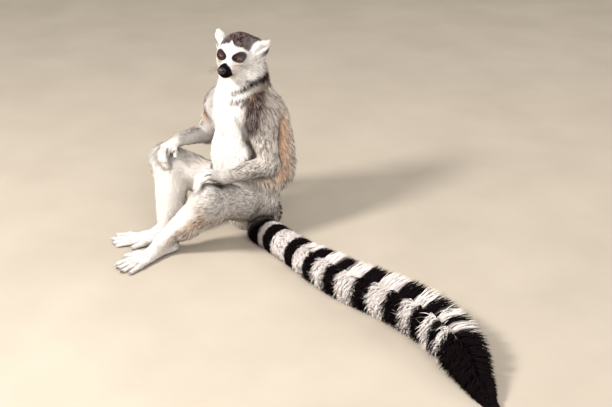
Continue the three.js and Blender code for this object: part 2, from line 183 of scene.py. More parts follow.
class Egg:
    """An egg with three radii, turned by a rotation."""

    def __init__(self, centre, radii, coat, flow, turn=np.eye(3)):
        self.centre, self.radii, self.coat, self.turn = centre, np.array(radii, float), coat, turn
        self.flow = unit(np.array(flow, float))

    def distance(self, p):
        q = (p - self.centre) @ self.turn
        k0 = np.linalg.norm(q / self.radii, axis=1)
        k1 = np.linalg.norm(q / self.radii ** 2, axis=1)
        return k0 * (k0 - 1) / np.maximum(k1, 1e-9)


def soft_min(d, e, k):
    h = np.maximum(k - np.abs(d - e), 0) / k
    return np.minimum(d, e) - h * h * k / 4


def soft_max(d, e, k):
    return -soft_min(-d, -e, k)


# Each kind of coat: how far the skin lies inside the outline, then the tufts' length and width in mm,
# their lift from the skin in degrees, and how many there are to a square millimetre.
COATS = {
    "back": dict(inset=6.0, length=16, width=1.25, lift=17, density=0.85),
    "chest": dict(inset=6.0, length=16, width=1.25, lift=15, density=0.85),
    "rump": dict(inset=6.0, length=17, width=1.3, lift=19, density=0.80),
    "neck": dict(inset=6.0, length=13, width=1.15, lift=16, density=1.0),
    "thigh": dict(inset=5.0, length=14, width=1.2, lift=17, density=0.90),
    "shank": dict(inset=4.0, length=11, width=1.1, lift=15, density=0.95),
    "arm": dict(inset=4.5, length=12, width=1.1, lift=15, density=1.0),
    "forearm": dict(inset=3.2, length=9, width=1.0, lift=14, density=1.1),
    "hand": dict(inset=0.6, length=4.5, width=0.75, lift=12, density=1.2),
    "foot": dict(inset=0.7, length=5.0, width=0.85, lift=12, density=1.05),
    "crown": dict(inset=2.4, length=7, width=0.85, lift=20, density=1.5),
    "cheek": dict(inset=3.2, length=9, width=0.9, lift=18, density=1.4),
    "face": dict(inset=0.9, length=4.0, width=0.6, lift=16, density=2.0),
    "muzzle": dict(inset=0.5, length=2.2, width=0.5, lift=12, density=2.4),
    "ear": dict(inset=0.9, length=5.0, width=0.7, lift=20, density=1.8),
    "tail": dict(inset=11, length=34, width=1.9, lift=42, density=0.52),
}
DIGIT_TIPS = []  # each digit's tip, the way it points, the way its back faces, and its radius


def shapes_of_digit(base, direction, axis, length, curl, r, coat):
    first, second = turned(direction, axis, curl / 2), turned(direction, axis, curl)
    middle = base + first * length * 0.52
    tip = middle + second * (length * 0.48 - r)
    DIGIT_TIPS.append((tip, second, unit(np.cross(second, axis)), r * 0.85 - COATS[coat]["inset"]))
    return [Limb(base, middle, r * 1.05, r, coat), Limb(middle, tip, r, r * 0.85, coat)]


def trunk_shapes():
    down = (0, 0.25, -1)
    twist = turn_zyx(0, 0, math.radians(12))
    return [
        Egg(vec(-8, 1, 46), (50, 46, 50), "rump", (0, 0.1, -1)),
        Egg(vec(0, 12, 104), (58, 74, 50), "rump", down),
        Egg(vec(0, 9, 150), (57, 73, 55), "back", down),
        Egg(vec(1, 9, 198), (53, 62, 45), "back", down, twist),
        Limb(vec(12, -9, 288), vec(4, 2, 222), 34, 39, "neck"),
        Limb(vec(3, -13, 268), vec(-6, -12, 228), 32, 40, "neck"),
    ]


def head_shapes():
    def egg(centre, radii, coat):
        return Egg(from_head(centre), radii, coat, HEAD_TURN @ vec(0, 1, 0), HEAD_TURN)

    def limb(a, b, ra, rb, coat):
        made = Limb(from_head(a), from_head(b), ra, rb, coat)
        made.flow = HEAD_TURN @ vec(0, 1, 0)
        return made

    return [
        egg((0, 28, 3), (31, 37, 29), "crown"),
        egg((0, 42, -16), (34, 28, 27), "cheek"),
        egg((0, 13, -7), (26, 18, 21), "face"),
        egg((21, 22, -12), (13, 17, 19), "cheek"),
        egg((-21, 22, -12), (13, 17, 19), "cheek"),
        egg((17, 44, 4), (19, 22, 19), "crown"),
        egg((-17, 44, 4), (19, 22, 19), "crown"),
        limb((0, 6, -9), (0, -25, -14), 14, 9.4, "muzzle"),
        limb((0, 12, -22), (0, -18, -21.5), 13, 6.8, "muzzle"),
        egg((15.5, 8.5, 0), (12, 11.5, 12), "face"),
        egg((-15.5, 8.5, 0), (12, 11.5, 12), "face"),
    ]


def hand_shapes(side):
    wrist, along, sign = WRIST[side], HAND_ALONG[side], SIGN[side]
    up = unit(vec(0, 0, 1) - along * along[2])
    inward = unit(np.cross(along, up)) * sign
    bend = inward * -sign
    knuckles = wrist + along * HAND * 0.42
    shapes = [
        Limb(wrist, knuckles + inward * 4, 9, 8, "hand"),
        Limb(wrist, knuckles - inward * 6, 9, 7, "hand"),
    ]
    for i, share in enumerate((0.5, 0.57, 0.58, 0.5)):
        base = knuckles + inward * (9 - 6.4 * i)
        shapes += shapes_of_digit(base, along, bend, HAND * share, FINGER_CURL[side], 3.9, "hand")
    thumb_aim = unit(along + inward * 0.9 - up * 0.35)
    thumb_base = wrist + along * 12 + inward * 5
    return shapes + shapes_of_digit(thumb_base, thumb_aim, bend, HAND * 0.4, math.radians(30), 4, "hand")


def foot_shapes(side):
    ankle, yaw, sign = ANKLE[side], FOOT_YAW[side], SIGN[side]
    direction = vec(math.sin(yaw), -math.cos(yaw), 0)
    inward = vec(direction[1], -direction[0], 0) * sign
    axis = np.cross(vec(0, 0, 1), direction)
    ball = FOOT * 0.29
    curl = math.radians(6)

    def on(forward, across, z):
        return vec(ankle[0], ankle[1], z) + direction * forward + inward * across

    shapes = [
        Limb(on(-FOOT * 0.14, 0, 10), on(ball, 0, 9.5), 11.5, 10, "foot"),
        Limb(ankle, on(22, 0, 12), 14, 10, "foot"),
        Limb(on(16, -3, 9), on(ball, -9, 8), 10, 7.5, "foot"),
    ]
    for across, share in ((8, 0.43), (1.5, 0.475), (-5, 0.49), (-12, 0.44)):
        aim = unit(direction + inward * across * 0.02)
        shapes += shapes_of_digit(on(ball - 2, across, 7), aim, axis, FOOT * share, curl, 4.5, "foot")
    big_aim = unit(direction + inward * 0.5)
    return shapes + shapes_of_digit(on(ball * 0.45, 8, 7.5), big_aim, axis, FOOT * 0.4, curl, 5.2, "foot")


def leg_shapes(side):
    hip, knee, ankle = HIP[side], KNEE[side], ANKLE[side]

    def down(share):
        return knee + (ankle - knee) * share

    return [
        Limb(hip, knee, 24, 25, "thigh"),
        Limb(hip + (knee - hip) * 0.36, knee, 35, 26, "thigh"),
        Limb(knee, ankle, 25, 15, "shank"),
        Limb(down(0.12) + vec(0, 12, -6), down(0.64) + vec(0, 16, -4), 29, 22, "shank"),
    ]


def arm_shapes(side):
    shoulder, elbow, wrist = SHOULDER[side], ELBOW[side], WRIST[side]
    return [Limb(shoulder, elbow, 28, 20, "arm"), Limb(elbow, wrist, 19, 12, "forearm")]


# Each chain of shapes, with the width of the fillets inside it.
CHAINS = [("trunk", trunk_shapes(), 34.0), ("head", head_shapes(), 7.0)]
for side_name in SIDES:
    CHAINS.append(("leg_" + side_name, leg_shapes(side_name), 12.0))
    CHAINS.append(("foot_" + side_name, foot_shapes(side_name), 4.0))
    CHAINS.append(("arm_" + side_name, arm_shapes(side_name), 6.0))
    CHAINS.append(("hand_" + side_name, hand_shapes(side_name), 3.0))


def inset_shapes():
    """Takes each shape in by its coat's depth, so that the union of them all is the skin."""
    for _, shapes, _ in CHAINS:
        for shape in shapes:
            depth = COATS[shape.coat]["inset"]
            if isinstance(shape, Limb):
                shape.ra, shape.rb = shape.ra - depth, shape.rb - depth
                reach = max(shape.ra, shape.rb)
                shape.low = np.minimum(shape.a, shape.b) - reach
                shape.high = np.maximum(shape.a, shape.b) + reach
            else:
                shape.radii = shape.radii - depth
                reach = shape.radii.max()
                shape.low, shape.high = shape.centre - reach, shape.centre + reach


inset_shapes()

# ------------------------------------------------------------------ tail
TAIL_KNOTS = np.array([
    [-4, 36], [17, 13], [46, -6], [91, -8], [161, -9], [225, -8], [287, -1],
    [345, 12], [405, 21], [460, 19], [510, 8], [565, -11], [628, -34]], float)
TAIL_FLATNESS, TAIL_SINK = 1.15, 1.5
TAIL_STEPS = 80
KNOT_STEPS = 40  # points worked out between two knots


def smooth(x, low, high):
    t = np.clip((np.asarray(x, float) - low) / (high - low), 0, 1)
    return t * t * (3 - 2 * t)


def between(a, b, ta, tb, u):
    """From a at ta to b at tb, at u."""
    return (tb - u) / (tb - ta) * a + (u - ta) / (tb - ta) * b


def catmull_rom(knots, samples):
    """A centripetal Catmull-Rom curve through the knots, at equal steps along it, and its length."""
    ends = np.vstack([2 * knots[0] - knots[1], knots, 2 * knots[-1] - knots[-2]])
    points = []
    for i in range(len(knots) - 1):
        p = ends[i:i + 4]
        gap = np.sqrt(np.linalg.norm(np.diff(p, axis=0), axis=1))
        t = np.concatenate([[0], np.cumsum(gap)])
        u = np.linspace(t[1], t[2], KNOT_STEPS, endpoint=False)[:, None]
        a = [between(p[j], p[j + 1], t[j], t[j + 1], u) for j in range(3)]
        b = [between(a[j], a[j + 1], t[j], t[j + 2], u) for j in range(2)]
        points.append(between(b[0], b[1], t[1], t[2], u))
    points = np.vstack(points + [knots[-1:]])
    run = np.concatenate([[0], np.cumsum(np.linalg.norm(np.diff(points, axis=0), axis=1))])
    even = np.linspace(0, run[-1], samples)
    return np.stack([np.interp(even, run, points[:, c]) for c in range(2)], axis=1), run[-1]


def tail_outline(share):
    thick = 24 + 12 * smooth(share, 0.05, 0.75)
    return thick * (1 - 0.78 * smooth(share, 0.78, 1.02))


def tail_core(share):
    """The radius of the tail's skin: its bone and muscle, without the long coat."""
    return 14.5 - 9.5 * smooth(share, 0.1, 0.97)


TAIL_ON_FLOOR, TAIL_LENGTH = catmull_rom(TAIL_KNOTS, TAIL_STEPS + 1)
TAIL_SHARE = np.linspace(0, 1, TAIL_STEPS + 1)
TAIL_LINE = np.column_stack([TAIL_ON_FLOOR, tail_outline(TAIL_SHARE) / TAIL_FLATNESS - TAIL_SINK])
TAIL_CORE_DROP = 3.0  # the core lies below the outline's middle, since the coat's underside is pressed


def tail_place(p):
    """The nearest share along the tail, and the point's offset from the middle line there."""
    best = np.full(len(p), np.inf)
    share = np.zeros(len(p))
    offset = np.zeros((len(p), 3))
    for i in range(TAIL_STEPS):
        a, line = TAIL_LINE[i], TAIL_LINE[i + 1] - TAIL_LINE[i]
        t = share_along(p[:, :2], a[:2], line[:2])
        off = p - a - t[:, None] * line
        far = np.einsum("ij,ij->i", off, off)
        nearer = far < best
        best[nearer] = far[nearer]
        share[nearer] = (i + t[nearer]) / TAIL_STEPS
        offset[nearer] = off[nearer]
    return share, offset


def tail_distance(p):
    share, offset = tail_place(p)
    offset = offset + vec(0, 0, TAIL_CORE_DROP)
    return np.linalg.norm(offset, axis=1) - tail_core(share)


# ------------------------------------------------------------------ ears and eyes
EAR_MIDDLE = {"left": (35, 26, 8), "right": (-31, 28, 10.5)}


def ear_turn(sign):
    return HEAD_TURN @ turn_zyx(math.radians(-10), math.radians(sign * 42), math.radians(sign * 30))


def ear_field(p, side):
    """A shell that narrows to a tip, with a cup hollowed out of its front."""
    turn = ear_turn(SIGN[side])
    middle = from_head(EAR_MIDDLE[side])
    up, half = (0, 0, 1), EAR_LENGTH / 2
    shell = Egg(middle, (12.0, 5.0, half + 0.4), "ear", up, turn)
    tip = Limb(middle + turn @ vec(0, 0, 6), middle + turn @ vec(0, 0, half + 2.5), 5.0, 1.8, "ear")
    cup_middle = middle + HEAD_TURN @ vec(SIGN[side] * 2.4, -6.5, 1.5)
    cup = Egg(cup_middle, (8.8, 5.4, half - 3), "ear", up, turn)
    return soft_max(soft_min(shell.distance(p), tip.distance(p), 5), -cup.distance(p), 1.5)


def eye_centre(side):
    return from_head((SIGN[side] * EYE_SPACING / 2, EYE_DEPTH, 0))


LID = 1.2  # thickness of the eyelids
LID_MIDDLE = (0.3, 1.6)  # middle of the slit between the lids, from the eye's middle: outwards and up
SLIT_HALF = (6.5, 1.8)


def lid_opening(q, side):
    """Negative inside the almond between the lids; q is in the head's frame."""
    half_wide, half_high = SLIT_HALF
    x = (q[:, 0] - SIGN[side] * EYE_SPACING / 2) * SIGN[side] - LID_MIDDLE[0]
    z = q[:, 2] - LID_MIDDLE[1] - 0.10 * x
    arch = np.clip(1 - (x / half_wide) ** 2, 0.0, 1)
    return soft_max(np.abs(z) - half_high * arch ** 0.85, np.abs(x) - half_wide, 1.0) * 0.9


def with_eyes(d, p):
    """The head's field with the lids laid over the eyeballs and opened."""
    q = in_head(p)
    for side in SIDES:
        from_eye = np.linalg.norm(p - eye_centre(side), axis=1)
        from_lid = from_eye - EYE_RADIUS - LID
        z = q[:, 2] - LID_MIDDLE[1]
        crease = hump(z - 4.6, 0.9) + 0.8 * hump(z + 5.2, 0.9)
        d = soft_min(d, from_lid, 4.0) + 0.55 * crease * (1 - smooth(from_lid, 0.2, 2.6))
        slit = np.maximum(soft_max(lid_opening(q, side), q[:, 1] - 6.0, 0.5), EYE_RADIUS - 1.2 - from_eye)
        d = soft_max(d, -slit, 0.7)
    return d


def mouth_line(y):
    """Height of the line between the lips, from the front of the muzzle to the mouth's corner."""
    return -20.6 - 4.2 * smooth(y, -26, -4) - 1.0 * smooth(y, -8, 2)


def with_mouth(d, p):
    """The field with the groove between the lips, and the crease below the nose."""
    x, y, z = in_head(p).T
    depth = 1.4 * (1 - smooth(y, -4.0, 1.5))
    d = d + depth * hump(z - mouth_line(y), 0.95)
    cleft = 0.8 * hump(x, 0.7) * (1 - smooth(y, -30, -27))
    return d + cleft * smooth(z, -20.5, -19) * (1 - smooth(z, -16, -14.5))


# ------------------------------------------------------------------ the whole skin's field
REACH = 26.0  # further than this from a chain's box, its distance isn't worked out
LOWEST_SKIN = 0.6  # mm above the floor


def chain_distance(p, shapes, k, low, high):
    out = np.full(len(p), REACH)
    near = within(p, low - REACH, high + REACH)
    if not near.any():
        return out
    q = p[near]
    d = shapes[0].distance(q)
    for shape in shapes[1:]:
        d = soft_min(d, shape.distance(q), k)
    out[near] = d
    return out


CHAIN_BOXES = [
    (name, shapes, k, np.min([s.low for s in shapes], axis=0), np.max([s.high for s in shapes], axis=0))
    for name, shapes, k in CHAINS]
TAIL_REACH, HEAD_REACH = 36, 75  # how far their own fields reach from the tail's line and the head's middle
TAIL_BOX = (TAIL_LINE.min(axis=0) - TAIL_REACH, TAIL_LINE.max(axis=0) + TAIL_REACH)
HEAD_BOX = (from_head((0, 25, 0)) - HEAD_REACH, from_head((0, 25, 0)) + HEAD_REACH)
JOIN = 5.0  # width of the fillets between chains
ROOT_JOIN = 24.0  # their width where a limb leaves the trunk
# Each limb's root, and how far from it the wide fillet starts and ends giving way to the narrow one.
ROOTS = {"arm_" + side: (SHOULDER[side], 24, 66) for side in SIDES}
ROOTS.update({"leg_" + side: (HIP[side], 60, 112) for side in SIDES})


def join_width(p, name):
    if name not in ROOTS:
        return JOIN
    root, near, far = ROOTS[name]
    away = smooth(np.linalg.norm(p - root, axis=1), near, far)
    return ROOT_JOIN + (JOIN - ROOT_JOIN) * away


def skin_field(p):
    d = np.full(len(p), REACH)
    for name, shapes, k, low, high in CHAIN_BOXES:
        d = soft_min(d, chain_distance(p, shapes, k, low, high), join_width(p, name))
    near = within(p, *TAIL_BOX)
    d[near] = soft_min(d[near], tail_distance(p[near]), JOIN)
    near = within(p, *HEAD_BOX)
    if near.any():
        q, e = p[near], d[near]
        for side in SIDES:
            e = soft_min(e, ear_field(q, side), 3.5)
        d[near] = with_mouth(with_eyes(e, q), q)
    return np.maximum(d, LOWEST_SKIN - p[:, 2])


def skin_slope(p, here, e=0.06):
    """Slope of the skin's field, whose value at the points is here."""
    slope = np.empty_like(p)
    for c in range(3):
        step = np.zeros(3)
        step[c] = e
        slope[:, c] = (skin_field(p + step) - here) / e
    return slope


def settle(p, rounds=2, reach=1.4):
    """The points moved onto the skin, by at most reach."""
    start = p.copy()
    for _ in range(rounds):
        here = skin_field(p)
        slope = skin_slope(p, here)
        size = np.einsum("ij,ij->i", slope, slope)
        p = p - slope * (here / np.maximum(size, 0.1))[:, None]
    moved = p - start
    far = np.linalg.norm(moved, axis=1, keepdims=True)
    return start + moved * np.minimum(1, reach / np.maximum(far, 1e-9))


def skin_normals(p):
    return unit_rows(skin_slope(p, skin_field(p)))


# ------------------------------------------------------------------ the skin's mesh
CELL = 1.5  # mm
BLOCK = 8  # cells to a side of the blocks that are left out when far from the skin
BLOCK_MARGIN = 15.0  # mm from the skin to the middle of a block that's worked out
BLOCKS_AT_ONCE = 600
SKIN_BOX = (vec(-112, -252, -3.2), vec(622, 92, 352))


def sampled_field(low, high):
    """The skin's field on a grid, worked out only in the blocks that the skin may pass through."""
    blocks = np.ceil((high - low) / (CELL * BLOCK)).astype(int)
    counts = blocks * BLOCK
    index = np.stack(np.meshgrid(*[np.arange(n) for n in blocks], indexing="ij"), axis=-1).reshape(-1, 3)
    middle = skin_field(low + (index + 0.5) * CELL * BLOCK)
    values = np.where(middle < 0, -REACH, REACH).astype(np.float32).reshape(blocks)
    for axis in range(3):
        values = np.repeat(values, BLOCK, axis=axis)
    step = np.stack(np.meshgrid(*[np.arange(BLOCK)] * 3, indexing="ij"), axis=-1).reshape(-1, 3)
    active = index[np.abs(middle) < BLOCK_MARGIN]
    for start in range(0, len(active), BLOCKS_AT_ONCE):
        cells = (active[start:start + BLOCKS_AT_ONCE, None] * BLOCK + step).reshape(-1, 3)
        values[tuple(cells.T)] = skin_field(low + cells * CELL)
    return values, counts


def surface_nets(values, counts, low):
    """Vertices and quads on the zero of the sampled field."""
    inside = values < 0
    strides = np.array([counts[1] * counts[2], counts[2], 1])
    ids, places, quads = [], [], []
    for axis in range(3):
        lower = [slice(1, -1)] * 3
        upper = [slice(1, -1)] * 3
        lower[axis], upper[axis] = slice(0, -1), slice(1, None)
        cells = np.argwhere(inside[tuple(lower)] != inside[tuple(upper)])
        shift = np.ones(3, int)
        shift[axis] = 0
        cells = cells + shift
        ahead = cells.copy()
        ahead[:, axis] += 1
        a, b = values[tuple(cells.T)], values[tuple(ahead.T)]
        place = cells.astype(float)
        place[:, axis] += a / (a - b)
        u, v = np.delete(np.arange(3), axis)
        corner = cells @ strides
        steps = np.array([0, strides[u], strides[u] + strides[v], strides[v]])
        ring = corner[:, None] - steps
        flip = (a > 0) != (axis == 1)
        ring[flip] = ring[flip][:, ::-1]
        quads.append(ring)
        ids.append(ring.reshape(-1))
        places.append(np.repeat(place, 4, axis=0))
    ids, places, quads = np.concatenate(ids), np.concatenate(places), np.concatenate(quads)
    used, where = np.unique(ids, return_inverse=True)
    count = np.bincount(where)
    points = np.stack([np.bincount(where, places[:, c]) / count for c in range(3)], axis=1)
    return low + points * CELL, np.searchsorted(used, quads)


def mesh_object(name, points, faces):
    """An object from points in millimetres and faces of one size."""
    faces = np.asarray(faces)
    mesh = bpy.data.meshes.new(name)
    mesh.vertices.add(len(points))
    mesh.vertices.foreach_set("co", (np.asarray(points) * MM).astype(np.float32).ravel())
    mesh.loops.add(faces.size)
    mesh.loops.foreach_set("vertex_index", faces.astype(np.int32).ravel())
    mesh.polygons.add(len(faces))
    mesh.polygons.foreach_set("loop_start", np.arange(0, faces.size, faces.shape[1], dtype=np.int32))
    mesh.polygons.foreach_set("use_smooth", np.ones(len(faces), bool))
    mesh.update(calc_edges=True)
    made = bpy.data.objects.new(name, mesh)
    bpy.context.scene.collection.objects.link(made)
    return made


def read_out(items, key, size, kind=np.float32):
    """One property of a mesh's items, as rows of this size."""
    values = np.empty(len(items) * size, kind)
    items.foreach_get(key, values)
    return values.reshape(-1, size)


def points_of(mesh):
    return read_out(mesh.vertices, "co", 3).astype(float) / MM


def set_points(mesh, points):
    mesh.vertices.foreach_set("co", (points * MM).astype(np.float32).ravel())
    mesh.update()


def relaxed(mesh, points, moved, rounds):
    """The chosen points moved to the middle of their neighbours and back onto the skin."""
    a, b = read_out(mesh.edges, "vertices", 2, np.int32).T
    size = len(points)
    count = np.maximum(np.bincount(a, minlength=size) + np.bincount(b, minlength=size), 1)
    for _ in range(rounds):
        total = np.stack([np.bincount(a, points[b, c], size) + np.bincount(b, points[a, c], size)
                          for c in range(3)], axis=1)
        middle = total / count[:, None]
        points[moved] = settle(points[moved] * 0.4 + middle[moved] * 0.6, rounds=1, reach=0.7)
    return points


def refine(mesh, near, cuts, rounds=2):
    """Cuts each edge that near picks out into cuts + 1, and settles the new vertices onto the skin."""
    bm = bmesh.new()
    bm.from_mesh(mesh)
    chosen = near(points_of(mesh))
    edges = [e for e in bm.edges if chosen[e.verts[0].index] and chosen[e.verts[1].index]]
    bmesh.ops.subdivide_edges(bm, edges=edges, cuts=cuts, use_grid_fill=True)
    bm.to_mesh(mesh)
    bm.free()
    points = points_of(mesh)
    set_points(mesh, relaxed(mesh, points, near(points), rounds))


# In the head's frame.
FACE_BOX = (vec(-26, -37, -34), vec(26, 16, 14))
LIPS_BOX = (vec(-14, -37, -30), vec(14, 5, -15))
LIDS_REACH = 12  # mm from the middle of an eye


def near_face(p):
    return within(in_head(p), *FACE_BOX)


def near_folds(p):
    """The lids and the lips."""
    from_eyes = np.minimum(*[np.linalg.norm(p - eye_centre(side), axis=1) for side in SIDES])
    return within(in_head(p), *LIPS_BOX) | (from_eyes < LIDS_REACH)


SKIN_TRIANGLES = 180000
FINE_HEAD, FINE_HAND = 48, 40  # mm round their middles where the skin stays fine
FINE_FOOT = (25, 26)  # mm behind the ankle, and above the floor


def thin_out(skin):
    """Takes triangles out of the skin's plainer parts: the trunk, the limbs and the tail."""
    points = points_of(skin.data)
    plain = ~near_face(points) & (np.linalg.norm(points - from_head((0, 20, 0)), axis=1) > FINE_HEAD)
    behind, above = FINE_FOOT
    for side in SIDES:
        hand = WRIST[side] + HAND_ALONG[side] * HAND / 2
        plain &= np.linalg.norm(points - hand, axis=1) > FINE_HAND
        plain &= ~((points[:, 1] < ANKLE[side][1] + behind) & (points[:, 2] < above))
    group = skin.vertex_groups.new(name="plain")
    group.add(np.nonzero(plain)[0].tolist(), 1.0, "REPLACE")
    triangles = sum(len(face.vertices) - 2 for face in skin.data.polygons)
    thinner = skin.modifiers.new("thinner", "DECIMATE")
    thinner.ratio = SKIN_TRIANGLES / triangles
    thinner.vertex_group = group.name
    thinner.use_collapse_triangulate = True
    thinned = bpy.data.meshes.new_from_object(skin.evaluated_get(bpy.context.evaluated_depsgraph_get()))
    skin.modifiers.clear()
    skin.vertex_groups.clear()
    skin.data = thinned
    thinned.name = skin.name


def make_skin():
    values, counts = sampled_field(*SKIN_BOX)
    points, quads = surface_nets(values, counts, SKIN_BOX[0])
    made = mesh_object("skin", settle(points), quads)
    refine(made.data, near_face, 1)
    refine(made.data, near_folds, 1, rounds=5)
    thin_out(made)
    return made


def unwrap(piece):
    """Gives a piece its OFBake map, from the shape of its own surface."""
    piece.data.uv_layers.new(name="OFBake")
    bpy.context.view_layer.objects.active = piece
    piece.select_set(True)
    bpy.ops.object.mode_set(mode="EDIT")
    bpy.ops.mesh.select_all(action="SELECT")
    bpy.ops.uv.smart_project(angle_limit=math.radians(70), island_margin=0.001)
    bpy.ops.object.mode_set(mode="OBJECT")
    piece.select_set(False)


# ------------------------------------------------------------------ markings
def colour(r, g, b):
    """A linear colour from its sRGB values out of 255."""
    c = np.array([r, g, b]) / 255.0
    return np.where(c <= 0.04045, c / 12.92, ((c + 0.055) / 1.055) ** 2.4)


WHITE = colour(240, 235, 230)
TAIL_WHITE = colour(228, 218, 213)
CREAM = colour(232, 216, 196)
GREY = colour(218, 204, 192)
PALE_GREY = colour(232, 224, 216)
DARK_TICK = colour(74, 56, 52)
PALE_TICK = colour(250, 243, 235)
TAN = colour(240, 186, 140)
BROWN = colour(58, 36, 34)
CAP = colour(50, 27, 27)
BLACK = colour(18, 11, 13)
RING_DARK = colour(22, 7, 9)
LID_GREY = colour(70, 38, 40)
PAD = colour(70, 60, 60)
NOSE_GREY = colour(44, 35, 37)
WRIST_BROWN = colour(44, 26, 24)
# Colours of painted shade: in the gaps between fingers, in the folds round the neck, and along the creases
# between touching parts.
GAP_SHADE, FOLD_SHADE, CREASE_SHADE = BROWN * 0.6, BROWN * 0.45, BROWN * 0.4
EAR_SKIN_AND_SHADE = colour(14, 8, 9)


def all_over(tint, p):
    return np.tile(tint, (len(p), 1))


def mix(a, b, t):
    t = np.asarray(t)[..., None]
    return a * (1 - t) + b * t


def spot(p, middle, radius):
    return np.exp(-np.sum(((p - np.array(middle)) / radius) ** 2, axis=1))


def streak(p, a, b, radius):
    """A spot drawn out from a to b."""
    a, b = np.array(a, float), np.array(b, float)
    off = p - a - share_along(p, a, b - a)[:, None] * (b - a)
    return np.exp(-np.sum(off ** 2, axis=1) / radius ** 2)


# The hind edge of the white chest: heights, and how far back it reaches at each.
CHEST_EDGE = ([60, 130, 150, 168, 187, 205, 222, 237, 249, 262, 274],
              [-34, -36, -27, -25, -29, -33, -32, -29, -24, -6, 4])
# Painted shade in the folds round the neck and chest: two ends and a width for each.
NECK_CREASES = [
    ((30, 26, 278), (42, 4, 274), 6.5),
    ((42, 4, 274), (42, -17, 269), 4.6),
    ((42, -17, 269), (35, -30, 260), 2.8),
    ((35, -30, 260), (23, -41, 253), 1.9),
    ((43, -4, 277), (39, -25, 273), 2.0),
    ((42, -24, 243), (31, -36, 240), 2.4),
    ((31, -36, 240), (21, -44, 238), 1.8),
    ((37, -34, 233), (42, -27, 240), 2.2),
]


def trunk_markings(p, n):
    """Colour and amount of ticking on the trunk and neck."""
    _, y, z = p.T
    white = smooth(np.interp(z, *CHEST_EDGE) - y, -3, 4)
    base = mix(all_over(GREY, p), PALE_GREY, smooth(-z, -110, -60))
    tan = hump(y - 24, 24) * smooth(z, 84, 112) * (1 - smooth(z, 190, 222)) * 0.95
    base = mix(base, TAN, tan)
    base = mix(base, CREAM, 0.85 * spot(p, (64, 6, 118), 26))
    nape = smooth(y, 2, 14) * smooth(z, 250, 266)
    left = streak(p, (40, -6, 256), (47, -24, 206), 16)
    right = streak(p, (-32, -8, 258), (-46, -44, 210), 13)
    patch = np.clip(np.maximum(left, right) * 1.35, 0, 1)
    base = mix(base, WHITE, white)
    base = mix(base, BROWN, np.maximum(nape * 0.9, patch * (1 - 0.7 * white)))
    collar = np.maximum(spot(p, (40, -22, 252), 9), spot(p, (38, -4, 262), 8))
    base = mix(base, mix(CREAM, TAN, 0.4), 0.7 * collar * (1 - white))
    base = mix(base, GREY * 0.7, 0.8 * spot(p, (44, -30, 178), 6))
    return base, (1 - white) * (1 - 0.55 * tan) * (1 - 0.6 * patch)


PATCH_FRONT = {"left": -24, "right": -42}  # how far forward each shoulder's dark patch reaches
CHEST_SHIFT = {"left": 0, "right": 16}  # how much further forward the white stops on each upper arm


def arm_markings(p, n, side):
    """Grey outside and white inside, with a dark shoulder, tan patches and a dark mark on one wrist."""
    sign = SIGN[side]
    outer = n @ unit(vec(0.9 * sign, 0.1, 0.38))
    below = smooth((p - ELBOW[side]) @ unit(WRIST[side] - ELBOW[side]), -6, 14)
    white = (1 - smooth(outer, -0.75, -0.4)) * (1 - below) + (1 - smooth(outer, -0.4, 0.0)) * below
    edge = np.interp(p[:, 2], *CHEST_EDGE) - CHEST_SHIFT[side]
    white = np.maximum(white, smooth(edge - p[:, 1], -2, 3) * smooth(p[:, 2], 176, 196))
    base = mix(mix(all_over(GREY, p), PALE_GREY, 0.6), WHITE, white)
    patch = streak(p, (sign * 44, -4, 254), (sign * 48, PATCH_FRONT[side], 206), 19)
    patch = np.clip(patch * smooth(-p[:, 1], -16, 8) * 1.6, 0, 1)
    base = mix(base, TAN, 0.35 * spot(p, (sign * 52, -2, 226), 16))
    base = mix(base, BROWN, patch * (1 - 0.8 * white))
    base = mix(base, TAN, 0.65 * spot(p, (-57, -48, 190), 11))
    base = mix(base, WRIST_BROWN, np.clip(1.6 * spot(p, (-44, -101, 167), 4.2), 0, 1))
    return base, (1 - 0.85 * white) * (1 - 0.6 * patch)


def leg_markings(p, n, side):
    """Grey outside and white inside, with a tan edge down the shank and cream by the rump."""
    sign = SIGN[side]
    drop = -p[:, 2]
    shank = smooth((p - KNEE[side]) @ unit(ANKLE[side] - KNEE[side]), -12, 22)
    inner = n @ unit(vec(-sign * 0.57, -0.82, 0))
    thigh_white = smooth(n @ unit(vec(-sign * 0.75, -0.1, -0.62)), 0.05, 0.5)
    white = thigh_white * (1 - shank) + smooth(inner, 0.12, 0.42) * shank
    edge = hump(inner - 0.05, 0.16) * shank
    base = mix(all_over(GREY, p), PALE_GREY, 0.65 + (1 - shank) * 0.35)
    base = mix(base, TAN, 0.6 * edge * (1 - smooth(drop, -60, -30)))
    base = mix(base, mix(WHITE, CREAM, 0.25), white)
    base = mix(base, CREAM, 0.7 * smooth(drop, -62, -30) * (1 - shank) * smooth(p[:, 1], -90, -60))
    if side == "left":
        base = mix(base, BROWN, 0.8 * np.maximum(spot(p, (87, -90, 90), 3.2), spot(p, (77, -61, 78), 3.0)))
    return base, (1 - white) * (0.62 + 0.30 * shank)


# Painted shade in the gaps between fingers: two ends and a width for each.
FINGER_GAPS = [((-42, -126, 157), (-43, -128, 141), 2.4), ((-37, -117, 153), (-42, -124, 132), 1.9),
               ((72, -113, 149), (64, -120, 145), 1.9)]


def digit_markings(p, n, style):
    """Pale above, with bare dark pads below and painted shade in the gaps between fingers; a foot's pads
    are only on its sole.
    """
    base = mix(all_over(PALE_GREY, p), WHITE, 0.45 if style == "hand" else 0.8)
    under = smooth(-n[:, 2], 0.35, 0.7)
    if style == "foot":
        under = under * (1 - smooth(p[:, 2], 7, 11))
    # Painted shade between the fingers.
    for a, b, radius in FINGER_GAPS:
        base = mix(base, GAP_SHADE, 0.9 * streak(p, a, b, radius))
    return mix(base, PAD, under * 0.9), 0.35 * (1 - under)


